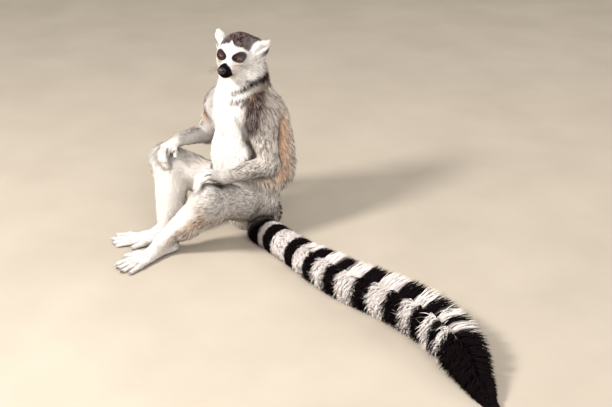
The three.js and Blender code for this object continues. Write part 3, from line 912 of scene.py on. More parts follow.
# In the head's frame: the cap's hairline over the brow (across, and its height) and round the side
# (back, and its height), and the hind edge of the black muzzle (heights, and how far back it reaches).
BROW = ([-28, -23, -20.5, -15.5, -9, -5, -3, -1.5, 1, 4, 10, 14, 17.5, 21, 25, 30],
        [10, 12, 14, 16.5, 18.5, 20.2, 23.2, 23.2, 20.8, 18.8, 17.2, 16.8, 15.5, 13, 12, 11])
CAP_SIDE = ([11, 15, 20, 34, 46, 60], [9.5, 13, 19.5, 22, 12, -10])
MUZZLE_EDGE = ([-26, -21, -16, -10, -5, -2, 1], [-8, -12, -17, -20.5, -21.5, -18, -15])
RING_ACROSS = 15.8  # how far each eye's ring is from the middle of the face
FACE_BACK = 24  # the eyes' markings end here


def cap_edge(q):
    """Height of the hairline of the dark cap, in the head's frame."""
    brow = np.interp(q[:, 0], *BROW)
    rise = np.interp(q[:, 1], *CAP_SIDE) - brow
    beside = rise * smooth(np.abs(q[:, 0]), 21, 27) * (q[:, 1] < 40)
    return brow + beside + rise * smooth(q[:, 1], 34, 42)


def eye_ring(q):
    """Below 1 inside the dark ring round each eye."""
    x = np.abs(q[:, 0]) - RING_ACROSS
    z = q[:, 2] - np.where(q[:, 0] > 0, 4.0, 2.6) - 0.06 * x
    wide = 12.0 - 2.4 * smooth(x, 0, 6)
    high = 8.6 - 1.6 * smooth(-x, 0, 10)
    return np.sqrt((x / wide) ** 2 + (z / high) ** 2)


def paint_eyes(base, q, ring):
    """The dark rings, with greyer lids."""
    on_face = q[:, 1] < FACE_BACK
    base = mix(base, RING_DARK, ring * on_face)
    across = np.abs(q[:, 0]) - RING_ACROSS
    upper = hump(q[:, 2] - 5.0 + 0.045 * across ** 2, 1.3)
    lower = 0.7 * hump(q[:, 2] + 2.4 - 0.03 * across ** 2, 0.9)
    lid = np.clip(upper + lower, 0, 1) * (1 - smooth(np.abs(across), 5.5, 8.5))
    return mix(base, LID_GREY, 0.75 * lid * on_face)


def head_markings(p, n):
    """White, with the dark cap, the eyes' rings, the black muzzle and lips, and flecks on the cheeks."""
    q = in_head(p)
    x, y, z = q.T
    base = mix(all_over(WHITE, p), mix(PALE_GREY, TAN, 0.25), 0.5 * hump(y + 7, 6) * (1 - smooth(z, -6, 0)))
    cap = smooth(z - cap_edge(q), -0.8, 1.2)
    base = mix(base, CAP, cap)
    ring = 1 - smooth(eye_ring(q), 0.88, 1.06)
    base = paint_eyes(base, q, ring)
    muzzle = 1 - smooth(y - np.interp(z, *MUZZLE_EDGE), -1.2, 1.2)
    muzzle = muzzle * smooth(z, -25.5, -24.2) * (1 - smooth(z, -1.5, 1.0))
    base = mix(base, BLACK, muzzle)
    lips = hump(z - mouth_line(y), 1.1) * (1 - smooth(y, -6, 2))
    base = mix(base, BLACK, 0.9 * lips)
    base = mix(base, DARK_TICK, 0.8 * spot(q, (-3, 8, -44), 2.2))
    crease = hump(z + 8.6, 0.8) * (1 - smooth(np.abs(np.abs(x) - 15), 3, 6)) * (y < 10)
    base = mix(base, LID_GREY, 0.55 * crease)
    rim = (1 - smooth(eye_ring(q) - 1, 0.02, 0.35)) * (1 - ring) * (y < FACE_BACK)
    base = mix(base, LID_GREY, 0.25 * rim)
    flecks = 0.42 * smooth(np.abs(x), 9, 18) * smooth(-z, -8, 4) * (1 - cap) + 0.03
    return base, flecks * (1 - muzzle) * (1 - ring) + 0.25 * cap


def in_ear(p, side):
    """Points in an ear's own frame, whose origin is its middle and which opens towards -Y."""
    return (p - from_head(EAR_MIDDLE[side])) @ ear_turn(SIGN[side])


def ear_slit(q, sign):
    """1 in the dark opening of an ear, in the ear's own frame."""
    place = np.stack([q[:, 0] * sign, q[:, 2]], axis=1)
    low, high = vec(2.5, -12), vec(9.5, 13)
    off = place - low - share_along(place, low, high - low)[:, None] * (high - low)
    return np.exp(-(np.linalg.norm(off, axis=1) / 3.9) ** 4) * smooth(-q[:, 1], -1.5, 1.5)


def ear_markings(p, n, side):
    """White, with a grey fold and an opening painted near-black: its dusky skin under painted shade of the
    ear's cup.
    """
    q = in_ear(p, side)
    across, _, z = q.T
    fold = hump(across * SIGN[side] + 3.0 - 0.25 * z, 1.3) * smooth(z, -4, 2) * (1 - smooth(z, 12, 17))
    base = mix(all_over(WHITE, p), LID_GREY, 0.6 * (fold * smooth(-q[:, 1], -1.5, 1.5)))
    # The opening's near-black is painted shade in the ear's cup, over its dusky inner skin.
    return mix(base, EAR_SKIN_AND_SHADE, 0.98 * ear_slit(q, SIGN[side])), np.zeros(len(p))


# Where the tail's dark rings are, along it from its root, and half their width, in mm.
RINGS = [(34, 7), (79, 12), (117, 13), (181, 13.5), (234, 12.5),
         (286, 13), (345, 15), (410, 17), (464, 13), (506, 9)]
BLACK_TIP = 530.0


def ring_darkness(along):
    """How dark the tail is at these distances along it."""
    dark = smooth(along, BLACK_TIP - 4, BLACK_TIP + 4)
    for middle, half in RINGS:
        dark = np.maximum(dark, 1 - smooth(np.abs(along - middle), half - 2, half + 2))
    return dark


def tail_markings(p, n):
    """Ringed dark on white, and grey where it leaves the rump."""
    along = tail_place(p)[0] * TAIL_LENGTH
    base = mix(all_over(TAIL_WHITE, p), BLACK, ring_darkness(along))
    root = 1 - smooth(along, 18, 27)
    return mix(base, GREY, root), root


PAINTERS = {"trunk": trunk_markings, "head": head_markings, "tail": tail_markings}
for side_name in SIDES:
    for part, painter in (("arm", arm_markings), ("leg", leg_markings), ("ear", ear_markings)):
        PAINTERS[part + "_" + side_name] = functools.partial(painter, side=side_name)
    for part in ("hand", "foot"):
        PAINTERS[part + "_" + side_name] = functools.partial(digit_markings, style=part)
REGIONS = ["trunk", "head"]
REGIONS += [part + "_" + side for side in SIDES for part in ("leg", "foot", "arm", "hand")]
REGIONS += ["tail", "ear_left", "ear_right"]
REGION = {name: number for number, name in enumerate(REGIONS)}
THIN_FOLD = 2.8  # folds narrower than this get fainter painted shade
LEAST_SHARE = 0.01  # of a point, below which a region is left out


def markings(p, n, shares, crease):
    """Colour and ticking, mixed from the regions that meet at each point by their shares of it, with
    painted shade in the folds round the neck and along the creases between touching parts.
    """
    base, ticks = np.zeros((len(p), 3)), np.zeros(len(p))
    for name, share in zip(REGIONS, shares.T):
        some = share > LEAST_SHARE
        if not some.any():
            continue
        found, ticking = PAINTERS[name](p[some], n[some])
        base[some] += found * share[some, None]
        ticks[some] += ticking * share[some]
    # Painted shade in the folds round the neck and chest.
    for a, b, radius in NECK_CREASES:
        fold = np.clip(1.5 * streak(p, a, b, radius), 0, 1)
        base = mix(base, FOLD_SHADE, 0.95 * fold * min(1, radius / THIN_FOLD))
        ticks = ticks * (1 - fold)
    # Painted shade along the creases between parts that touch.
    return mix(base, CREASE_SHADE, 0.95 * crease), ticks * (1 - crease)


# ------------------------------------------------------------------ the lie of the coat
SOFTNESS = 5.0  # mm over which one part's coat gives way to the next
LEAST_WEIGHT = 0.02  # of a part's coat, below which it's left out
STYLE_KEYS = ("length", "width", "lift", "density")


def onto_skin(way, n):
    """Directions laid along the skin whose normals are n."""
    return unit_rows(way - n * np.einsum("ij,ij->i", way, n)[:, None])


def tail_flow(p, n):
    """The tail's coat parts along the top and fans out to each side, more along the tail at both ends."""
    share, offset = tail_place(p)
    step = np.clip((share * TAIL_STEPS).astype(int), 0, TAIL_STEPS - 1)
    line = unit_rows(TAIL_LINE[step + 1] - TAIL_LINE[step])
    out = np.cross(line, vec(0, 0, 1))
    across = np.einsum("ij,ij->i", offset, out)
    away = onto_skin(out * np.sign(across)[:, None] - vec(0, 0, 0.35), n)
    sideways = smooth(share, 0.22, 0.45) * (1 - 0.62 * smooth(share, 0.6, 0.85))
    return line * (1 - 0.62 * sideways)[:, None] + away * (0.12 + 1.0 * sideways)[:, None], share


# The pairs of parts that lie against each other, with painted shade along the line between them.
TOUCHING = [
    ("arm_left", "trunk"), ("arm_left", "leg_left"), ("leg_left", "trunk"), ("hand_left", "leg_left"),
    ("hand_left", "leg_right"), ("arm_right", "leg_right"), ("hand_right", "leg_right"),
    ("arm_right", "trunk"), ("leg_right", "trunk"), ("foot_left", "leg_right"), ("leg_left", "leg_right"),
    ("tail", "trunk"), ("tail", "leg_left")]
LIMB_LINE, HAND_LINE = (8.0, 1.0), (3.0, 0.6)  # width and strength of the painted shade line along a limb and a hand


def part_fields(p):
    """For each part: its name, its coat, its distance from these points and the way its hair lies."""
    fields = [(name, shape.coat, shape.distance(p), shape.flow)
              for name, shapes, _ in CHAINS for shape in shapes]
    return fields + [("tail", "tail", tail_distance(p), None)]


def crease_shade(p, fields):
    """Painted shade: 1 along the lines where two parts of the body lie against each other, away from where
    they join.
    """
    nearest = {}
    for name, _, distance, _ in fields:
        nearest[name] = np.minimum(nearest.get(name, 1e3), distance)
    depth = np.zeros(len(p))
    for a, b in TOUCHING:
        width, strength = HAND_LINE if a.startswith("hand") else LIMB_LINE
        close = 1 - smooth(np.minimum(nearest[a], nearest[b]), 6, 12)
        line = np.exp(-((nearest[a] - nearest[b]) / width) ** 4) * close
        for name in (a, b):
            if name in ROOTS:
                root, near, far = ROOTS[name]
                line = line * smooth(np.linalg.norm(p - root, axis=1), near * 0.7, far * 0.75)
        depth = np.maximum(depth, line * strength)
    return depth


class Lie:
    """The coat at some points of the skin: its region, style and flow there."""

    def __init__(self, p, n):
        fields = part_fields(p)
        tail_way, self.share = tail_flow(p, n)
        fields[-1] = fields[-1][:3] + (tail_way,)
        for side in SIDES:
            fields.append(("ear_" + side, "ear", ear_field(p, side), ear_turn(SIGN[side]) @ vec(0, 0, 1)))
        nearest = np.min([field[2] for field in fields], axis=0)
        # The painted shade along the creases between parts that touch.
        self.crease = crease_shade(p, fields)
        self.style = np.zeros((len(p), len(STYLE_KEYS)))
        self.regions = np.zeros((len(p), len(REGIONS)))
        flow = np.zeros((len(p), 3))
        weight = np.zeros(len(p))
        for name, coat, distance, way in fields:
            w = np.exp(-(distance - nearest) / SOFTNESS)
            w[w < LEAST_WEIGHT] = 0
            self.style += w[:, None] * np.array([COATS[coat][key] for key in STYLE_KEYS])
            self.regions[:, REGION[name]] += w
            flow += w[:, None] * way
            weight += w
        self.style /= weight[:, None]
        self.regions /= weight[:, None]
        self.region = np.argmax(self.regions, axis=1)
        self.shape_head(p, flow)
        self.flow = onto_skin(flow, n)

    def shape_head(self, p, flow):
        """On the face the coat runs away from the nose and the eyes, and is shortest by them."""
        q = in_head(p)
        x, y, z = q.T
        on_head = self.regions[:, REGION["head"]]
        near_eye = (1 - smooth(eye_ring(q), 0.7, 1.5)) * (y < FACE_BACK)
        away = unit_rows(np.stack([np.sign(x) * (np.abs(x) - 15), np.zeros(len(q)), z - 1.6], axis=1))
        from_nose = unit_rows(q - vec(0, -30, -12))
        way = unit_rows(0.5 * from_nose + vec(0, 0.6, 0) + near_eye[:, None] * away * 0.9)
        flow += (way @ HEAD_TURN.T) * (1.5 * on_head)[:, None]
        short = near_eye * on_head
        for key, change in (("length", -0.72), ("width", -0.45), ("density", 0.8)):
            self.style[:, STYLE_KEYS.index(key)] *= 1 + change * short

    def share_of(self, name):
        return self.regions[:, REGION[name]]

    def is_in(self, *names):
        return np.isin(self.region, [REGION[name] for name in names])


CHUNK = 50000  # points worked on at a time


def in_chunks(work, *arrays):
    return [work(*(a[i:i + CHUNK] for a in arrays)) for i in range(0, len(arrays[0]), CHUNK)]


def skin_arrays():
    """The skin's points, vertex normals and triangles, and each triangle's corners on the OFBake map."""
    mesh = skin.data
    mesh.calc_loop_triangles()
    normals = read_out(mesh.vertices, "normal", 3).astype(float)
    corners = read_out(mesh.loop_triangles, "vertices", 3, np.int32)
    loops = read_out(mesh.loop_triangles, "loops", 3, np.int32)
    return points_of(mesh), normals, corners, read_out(mesh.uv_layers["OFBake"].data, "uv", 2)[loops]


def paint(mesh, colours):
    layer = mesh.color_attributes.new(name="Coat", type="FLOAT_COLOR", domain="POINT")
    rgba = np.ones((len(mesh.vertices), 4), np.float32)
    rgba[:, :3] = colours
    layer.data.foreach_set("color", rgba.ravel())


def skin_colour(p, n):
    """The skin's own colour: the coat's, a little darker where it is ticked."""
    lie = Lie(p, n)
    base, ticks = markings(p, n, lie.regions, lie.crease)
    return mix(base, DARK_TICK, 0.3 * ticks) * 0.94


# ------------------------------------------------------------------ tufts
def hash_noise(cell, seed):
    """A number from 0 to 1 for each row of whole numbers."""
    h = (cell[:, 0] * 73856093) ^ (cell[:, 1] * 19349663) ^ (cell[:, 2] * 83492791) ^ (seed * 2654435761)
    h = (h ^ (h >> 13)) * 1274126177
    return ((h ^ (h >> 16)) & 0xFFFFFF) / float(0xFFFFFF)


def soft_noise(p, scale, seed):
    """Smooth noise from -1 to 1."""
    q = p / scale
    cell = np.floor(q).astype(np.int64)
    t = q - cell
    t = t * t * (3 - 2 * t)
    out = np.zeros(len(p))
    for corner in range(8):
        step = np.array([corner & 1, corner >> 1 & 1, corner >> 2 & 1])
        w = np.prod(np.where(step, t, 1 - t), axis=1)
        out += w * hash_noise(cell + step, seed)
    return out * 2 - 1


SHOWN = 0.42  # how far along a tuft its colour is taken from the markings
ROUNDING = 0.7  # how much a tuft's own shape turns the light, beside the body's under it
PATCH = 0.0015  # half the width of a tuft's place on the OFBake map
LOWEST_TUFT = 0.5  # mm above the floor
# The rings of a tuft with one, two or three of them: how far along it each is, and its girth.
TUFT_RINGS = {1: [(0.0, 1.0)], 2: [(0.0, 0.75), (0.45, 1.0)], 3: [(0.0, 0.7), (0.35, 1.0), (0.72, 0.72)]}
TUFT_CORNERS = ((-1, -0.3), (1, -0.3), (0, 0.7))  # of a ring: sideways, and away from the skin


def tuft_faces(rings):
    """The triangles of one closed tuft, facing outwards."""
    turns = ((0, 1), (1, 2), (2, 0))
    faces = [[0, 1, 2]]
    for low in range(0, rings * 3 - 3, 3):
        high = low + 3
        for a, b in turns:
            faces += [[low + a, high + b, low + b], [low + a, high + a, high + b]]
    top, tip = rings * 3 - 3, rings * 3
    faces += [[top + a, tip, top + b] for a, b in turns]
    return np.array(faces)[:, ::-1]


def step_along(t, place, before, level):
    """The next place along each tuft, and the way there. A tuft starts at its lift and ends at its lay."""
    middle = (level + before) / 2
    angle = t["lift"] + (t["lay"] - t["lift"]) * middle
    way = np.cos(angle)[:, None] * t["flow"] + np.sin(angle)[:, None] * t["normal"] + t["stray"] * level
    way = unit_rows(way)
    return place + way * (t["length"] * (level - before))[:, None], way


def build_tufts(name, t, rings):
    """One mesh of closed tapering tufts. t holds an array for each of their qualities."""
    count, size = len(t["root"]), rings * 3 + 1
    verts, normals, tints = (np.empty((count, size, 3)) for _ in range(3))
    uvs = np.empty((count, size, 2))
    place = t["root"] - t["normal"] * t["sink"][:, None]
    way = unit_rows(t["flow"] * 0.8 + t["normal"] * 0.6)
    before = 0.0
    for i, (level, girth) in enumerate(TUFT_RINGS[rings]):
        if i:
            place, way = step_along(t, place, before, level)
        before = level
        side = unit_rows(np.cross(t["normal"], way))
        over = unit_rows(np.cross(way, side))
        half = (t["width"] * girth / 2)[:, None]
        for corner, (a, b) in enumerate(TUFT_CORNERS):
            k = i * 3 + corner
            verts[:, k] = place + side * half * a + over * half * b
            normals[:, k] = unit_rows(t["normal"] + (side * a + over * b) * ROUNDING)
            uvs[:, k] = t["uv"] + vec((corner - 1) * PATCH, (level * 2 - 1) * PATCH)
            # The first ring takes the colour under the tuft, darkened by painted shade.
            tints[:, k] = mix(t["base"], t["tip"], level ** 1.5) if i else t["under"]
    verts[:, -1], _ = step_along(t, place, before, 1.0)
    normals[:, -1] = unit_rows(t["normal"] + over * 0.5)
    uvs[:, -1] = t["uv"] + vec(0, PATCH)
    tints[:, -1] = t["tip"]
    verts[..., 2] = np.maximum(verts[..., 2], LOWEST_TUFT)
    faces = (tuft_faces(rings)[None] + (np.arange(count) * size)[:, None, None]).reshape(-1, 3)
    made = mesh_object(name, verts.reshape(-1, 3), faces)
    layer = made.data.uv_layers.new(name="OFBake")
    flat = np.clip(uvs.reshape(-1, 2), 0.0, 1.0)[faces.ravel()]
    layer.data.foreach_set("uv", flat.astype(np.float32).ravel())
    paint(made.data, tints.reshape(-1, 3))
    made.data.normals_split_custom_set_from_vertices(normals.reshape(-1, 3).tolist())
    return made


THINNING = 1.0
COAT_SEED, WHISKER_SEED = 20, 4
NOSE_MIDDLE = vec(0, -32.5, -11.5)
NOSE_RADII = vec(6.9, 4.8, 5.0)


def coat_density(p, n):
    """Tufts to a square millimetre: none in the slits, on the nose or between the lips, few underneath."""
    lie, q = Lie(p, n), in_head(p)
    density = lie.style[:, STYLE_KEYS.index("density")].copy()
    for side in SIDES:
        from_eye = np.linalg.norm(p - eye_centre(side), axis=1)
        density *= ~((from_eye < EYE_RADIUS + 2.4) & (lid_opening(q, side) < 0.9))
    lips = (np.abs(q[:, 2] - mouth_line(q[:, 1])) < 1.0) & (q[:, 1] < 0)
    nose = np.linalg.norm((q - NOSE_MIDDLE) / (NOSE_RADII + 1.0), axis=1) < 1
    density *= ~(lips & (q[:, 2] > -34)) & ~nose
    for side in SIDES:
        ear = in_ear(p, side)
        density *= 1 - 0.95 * ear_slit(ear, SIGN[side]) * (np.abs(ear[:, 1]) < 9)
    density *= 1 - 0.85 * (p[:, 2] < 2.0)
    density *= 1 - 0.8 * (lie.is_in("foot_left", "foot_right") & (n[:, 2] < -0.4))
    return density * THINNING


def place_roots(points, normals, triangles, map_corners, rng):
    """Seeds roots over the skin by the coat's density."""
    a, b, c = (points[triangles[:, i]] for i in range(3))
    area = np.linalg.norm(np.cross(b - a, c - a), axis=1) / 2
    centre, facing = (a + b + c) / 3, unit_rows(normals[triangles].sum(axis=1))
    density = np.concatenate(in_chunks(coat_density, centre, facing))
    count = np.floor(area * density + rng.random(len(area))).astype(int)
    face = np.repeat(np.arange(len(area)), count)
    u, v = rng.random(len(face)), rng.random(len(face))
    flip = u + v > 1
    u[flip], v[flip] = 1 - u[flip], 1 - v[flip]
    w = np.stack([1 - u - v, u, v], axis=1)[..., None]
    corners = triangles[face]
    return ((points[corners] * w).sum(axis=1), unit_rows((normals[corners] * w).sum(axis=1)),
            (map_corners[face] * w).sum(axis=1))


def style_tail(lie, t):
    """The tail's coat is short at its root and long from the middle on."""
    on_tail, share = lie.share_of("tail"), lie.share
    own = {
        "length": 8 + (tail_outline(share) - tail_core(share)) * 1.12,
        "lift": np.radians(58 - 14 * smooth(share, 0.8, 1.0)),
        "lay": np.radians(14),
    }
    for key, value in own.items():
        t[key] = t[key] * (1 - on_tail) + value * on_tail
    t["length"] *= 1 - 0.45 * on_tail * smooth(share, 0.92, 1.0)


# The share of each part's longer tufts that bend over a second ring.
CURLED = {"trunk": 0.42, "arm": 0.15, "leg": 0.22, "head": 0.6, "ear": 0.5, "hand": 0.0, "foot": 0.0,
          "tail": 1.0}
LONGER = 5.5  # mm
TICK_GRAIN, CLUMP_SIZE, BROAD_SIZE = 2.2, 9.0, 26.0  # mm, of the ticking and of the coat's unevenness
DARK_BELOW, PALE_ABOVE = 0.40, 0.66  # where a tuft's tip is dark or pale
TICK_BROWN = DARK_TICK * 0.7


def tuft_rings(lie, length, dice):
    """3 rings to a tuft of the tail, 2 to some of the longer ones elsewhere, and 1 to the rest."""
    curled = np.array([CURLED[name.split("_")[0]] for name in REGIONS])[lie.region]
    rings = 1 + ((dice < curled) & (length > LONGER)).astype(int)
    return np.where(lie.is_in("tail"), 3, rings)


def colour_tufts(t, lie, base, ticks, clump, rng):
    """Colours at the tip, the middle and under it, with dark and pale tips where the coat is ticked. Under
    each tuft the colour is darkened as painted shade at its root, deeper where the ticked coat's underfur
    is darker.
    """
    dice = 0.5 + 0.45 * soft_noise(t["root"], TICK_GRAIN, 6) + 0.70 * (rng.random(len(base)) - 0.5)
    dark = (dice < DARK_BELOW) * ticks
    pale = (dice > PALE_ABOVE) * ticks
    white = smooth(base.min(axis=1), 0.55, 0.8)
    t["lift"] *= 1 - 0.35 * white * lie.is_in("trunk")
    t["lay"] *= 1 - 0.5 * white * lie.is_in("trunk")
    t["length"] *= 1 - 0.5 * lie.crease
    shade = 1 + (0.06 * rng.standard_normal(len(base)) + 0.05 * clump) * (1 - 0.6 * white)
    plain = base * shade[:, None].clip(0.7, 1.2)
    t["tip"] = mix(mix(plain, TICK_BROWN, 0.9 * dark), PALE_TICK, 0.8 * pale)
    t["base"] = mix(plain, TICK_BROWN, 0.7 * dark)
    # Painted shade at the root of each tuft, deeper where the ticked coat's underfur is darker.
    t["under"] = t["base"] * (0.97 - 0.25 * ticks)[:, None]


def qualities(p, n, uv, rng):
    """The tufts that grow at these places of the skin."""
    lie = Lie(p, n)
    count = len(p)
    length, width, lift, _ = lie.style.T
    t = dict(root=p, normal=n, uv=uv, region=lie.region, share=lie.share)
    clump = [soft_noise(p, CLUMP_SIZE, seed) for seed in (1, 2)]
    broad = [soft_noise(p, BROAD_SIZE, seed) for seed in (4, 5)]
    tail = lie.share_of("tail")
    turn = (0.16 + 0.2 * tail) * clump[0] + 0.12 * broad[0]
    turn = turn + (0.13 + 0.1 * tail) * rng.standard_normal(count)
    t["flow"] = unit_rows(lie.flow + np.cross(n, lie.flow) * turn[:, None])
    t["length"] = length * (1 + 0.16 * rng.standard_normal(count) + 0.12 * clump[1]).clip(0.5, 1.5)
    t["width"] = width * (1 + 0.18 * rng.standard_normal(count)).clip(0.6, 1.5)
    t["lift"] = np.radians(lift * (1.25 + 0.3 * clump[1])) + 0.07 * rng.standard_normal(count)
    t["lay"] = np.radians(lift * (0.40 + 0.3 * broad[1])) + 0.06 * rng.standard_normal(count)
    t["rings"] = tuft_rings(lie, length, rng.random(count))
    style_tail(lie, t)
    t["stray"] = 0.08 * rng.standard_normal((count, 3)) - vec(0, 0, 0.06) * smooth(length, 10, 20)[:, None]
    t["sink"] = np.minimum(0.8, t["length"] * 0.08)
    seen = p + t["flow"] * (SHOWN * t["length"])[:, None]
    # The painted shade of the creases, at the place where each tuft's colour is taken.
    crease = np.maximum(0.8 * lie.crease, crease_shade(seen, part_fields(seen)))
    base, ticks = markings(seen, n, lie.regions, crease)
    colour_tufts(t, lie, base, ticks, clump[0], rng)
    return t


# The coat's pieces: their regions, and the record's slot.
PIECES = [
    ("coat_trunk", ("trunk",), "grey_coat"),
    ("coat_arms", ("arm_left", "arm_right"), "grey_coat"),
    ("coat_legs", ("leg_left", "leg_right"), "grey_coat"),
    ("coat_head", ("head", "ear_left", "ear_right"), "white_coat"),
    ("coat_hands_feet", ("hand_left", "hand_right", "foot_left", "foot_right"), "white_coat"),
    ("coat_tail", ("tail",), "dark_coat"),
]
PIECE_TRIANGLES = 190000


def place_piece(piece, material, slot, *nodes):
    """Gives a piece its material and body, and hides the nodes that it replaces; its slot is not used."""
    piece.data.materials.append(material)
    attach(piece, "root")
    if nodes:
        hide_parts(*nodes)


def grown_coat():
    """Every tuft's qualities, with the number of its region. The skin is painted on the way."""
    rng = np.random.default_rng(COAT_SEED)
    points, normals, triangles, map_corners = skin_arrays()
    paint(skin.data, np.concatenate(in_chunks(skin_colour, points, normals)))
    roots = place_roots(points, normals, triangles, map_corners, rng)
    parts = in_chunks(lambda p, n, uv: qualities(p, n, uv, rng), *roots)
    return {key: np.concatenate([part[key] for part in parts]) for key in parts[0]}


def make_coat(material):
    t = grown_coat()
    made = 0
    for (name, regions, slot), rings in itertools.product(PIECES, TUFT_RINGS):
        mine = np.isin(t["region"], [REGION[region] for region in regions]) & (t["rings"] == rings)
        mine = np.nonzero(mine)[0]
        if not len(mine):
            continue
        mine = mine[np.argsort(t["share"][mine] if name == "coat_tail" else t["root"][mine, 2])]
        triangles = len(mine) * len(tuft_faces(rings))
        for some in np.array_split(mine, 1 + triangles // PIECE_TRIANGLES):
            made += 1
            tufts = {key: value[some] for key, value in t.items()}
            place_piece(build_tufts("%s_%d" % (name, made), tufts, rings), material, slot)


# ------------------------------------------------------------------ materials
# Where the noise gives way from one colour of a mottle to the other.
PAINTED_STOPS, PLAIN_STOPS = (0.3, 0.7), (0.35, 0.65)


def noise_node(nodes, links, scale, detail):
    place = nodes.new("ShaderNodeTexCoord")
    noise = nodes.new("ShaderNodeTexNoise")
    noise.inputs["Scale"].default_value = scale
    noise.inputs["Detail"].default_value = detail
    links.new(place.outputs["Object"], noise.inputs["Vector"])
    return noise.outputs["Fac"]


def times_paint(nodes, links, shade):
    """The piece's painted colours, times a shade."""
    layer = nodes.new("ShaderNodeVertexColor")
    layer.layer_name = "Coat"
    product = nodes.new("ShaderNodeMix")
    product.data_type = "RGBA"
    product.blend_type = "MULTIPLY"
    product.inputs["Factor"].default_value = 1.0
    links.new(layer.outputs["Color"], product.inputs["A"])
    links.new(shade, product.inputs["B"])
    return product.outputs["Result"]


def add_bump(nodes, links, noise, depth, shader):
    bump = nodes.new("ShaderNodeBump")
    bump.inputs["Strength"].default_value = 0.6
    bump.inputs["Distance"].default_value = depth
    links.new(noise, bump.inputs["Height"])
    links.new(bump.outputs["Normal"], shader.inputs["Normal"])


def mottled(name, scale, low, high, settings, bump_depth=0.0, detail=4.0, over_paint=False):
    """A mottle between two colours, alone or times the painted ones, with a bump of bump_depth metres."""
    material = bpy.data.materials.new(name)
    material.use_nodes = True
    nodes, links = material.node_tree.nodes, material.node_tree.links
    shader = nodes["Principled BSDF"]
    noise = noise_node(nodes, links, scale, detail)
    ramp = nodes.new("ShaderNodeValToRGB")
    stops = PAINTED_STOPS if over_paint else PLAIN_STOPS
    for element, at, tint in zip(ramp.color_ramp.elements, stops, (low, high)):
        element.position = at
        element.color = (*tint, 1)
    links.new(noise, ramp.inputs["Fac"])
    shade = ramp.outputs["Color"]
    links.new(times_paint(nodes, links, shade) if over_paint else shade, shader.inputs["Base Color"])
    for socket, value in settings.items():
        shader.inputs[socket].default_value = value
    if bump_depth:
        add_bump(nodes, links, noise, bump_depth, shader)
    return material


def painted(name, scale, low, high, settings, bump_depth=0.0, detail=4.0):
    """The painted colours under a mottle, from low times them to high times them."""
    return mottled(name, scale, (low,) * 3, (high,) * 3, settings, bump_depth, detail, over_paint=True)


# ------------------------------------------------------------------ eyes, nose, nails and whiskers
def ball(rows, columns):
    """Points and triangles of a closed unit ball, whose poles are on its Z."""
    theta = np.linspace(0, math.pi, rows + 1)[1:-1]
    phi = np.linspace(0, 2 * math.pi, columns, endpoint=False)
    ring = np.stack([np.outer(np.sin(theta), np.cos(phi)), np.outer(np.sin(theta), np.sin(phi)),
                     np.outer(np.cos(theta), np.ones(columns))], axis=-1).reshape(-1, 3)
    points = np.vstack([ring, [[0, 0, 1]], [[0, 0, -1]]])
    north, south = len(ring), len(ring) + 1
    faces = []
    for j in range(columns):
        k = (j + 1) % columns
        faces += [[north, j, k], [south, (rows - 2) * columns + k, (rows - 2) * columns + j]]
        for i in range(rows - 2):
            a, b = i * columns, (i + 1) * columns
            faces += [[a + j, b + j, b + k], [a + j, b + k, a + k]]
    return points, np.array(faces)


IRIS_ANGLE, PUPIL_ANGLE = 52.0, 17.0  # degrees from the middle of the gaze
GAZE_OUT, GAZE_DOWN = 14.0, 4.0
CORNEA = 0.5  # mm that the cornea stands out
IRIS_LIGHT, IRIS_DARK, IRIS_EDGE = colour(132, 76, 42), colour(76, 40, 24), colour(58, 24, 14)
PUPIL, EYE_SURROUND = colour(8, 5, 5), colour(40, 22, 18)
SPOKES = 9  # how fine the iris's spokes are


def eye_tint(unit_ball, angle):
    """The iris with its spokes, the pupil and the dark surround, by the angle from the gaze."""
    round_gaze = np.arctan2(unit_ball[:, 1], unit_ball[:, 0])
    spoke = soft_noise(np.column_stack([round_gaze * SPOKES, angle / 18, angle * 0]), 1.0, 7)
    iris = mix(all_over(IRIS_LIGHT, unit_ball), IRIS_DARK, 0.5 + 0.5 * spoke)
    iris = mix(iris, IRIS_EDGE, smooth(angle, IRIS_ANGLE - 12, IRIS_ANGLE - 2))
    tint = mix(iris, PUPIL, 1 - smooth(angle, PUPIL_ANGLE - 1.5, PUPIL_ANGLE + 1.5))
    return mix(tint, EYE_SURROUND, smooth(angle, IRIS_ANGLE - 2, IRIS_ANGLE + 3))


def make_eye(side, material):
    """An eyeball with its iris and pupil, in rings round the gaze."""
    unit_ball, faces = ball(72, 96)
    out = math.radians(GAZE_OUT) * SIGN[side]
    gaze = HEAD_TURN @ unit(vec(math.sin(out), -math.cos(out), -math.sin(math.radians(GAZE_DOWN))))
    across = unit(np.cross(gaze, vec(0, 0, 1)))
    turn = np.stack([across, np.cross(gaze, across), gaze], axis=1)
    angle = np.degrees(np.arccos(np.clip(unit_ball[:, 2], -1, 1)))
    radius = EYE_RADIUS + CORNEA * (1 - smooth(angle, 20, 48))
    eye = mesh_object("eyeball_" + side, (unit_ball * radius[:, None]) @ turn.T + eye_centre(side), faces)
    paint(eye.data, eye_tint(unit_ball, angle))
    unwrap(eye)
    place_piece(eye, material, "eye", "eye_" + side)


def near(unit_ball, way, spread):
    """1 where a unit ball faces this way, falling away over the spread."""
    return np.exp(-np.sum((unit_ball - way) ** 2 / spread, axis=1))


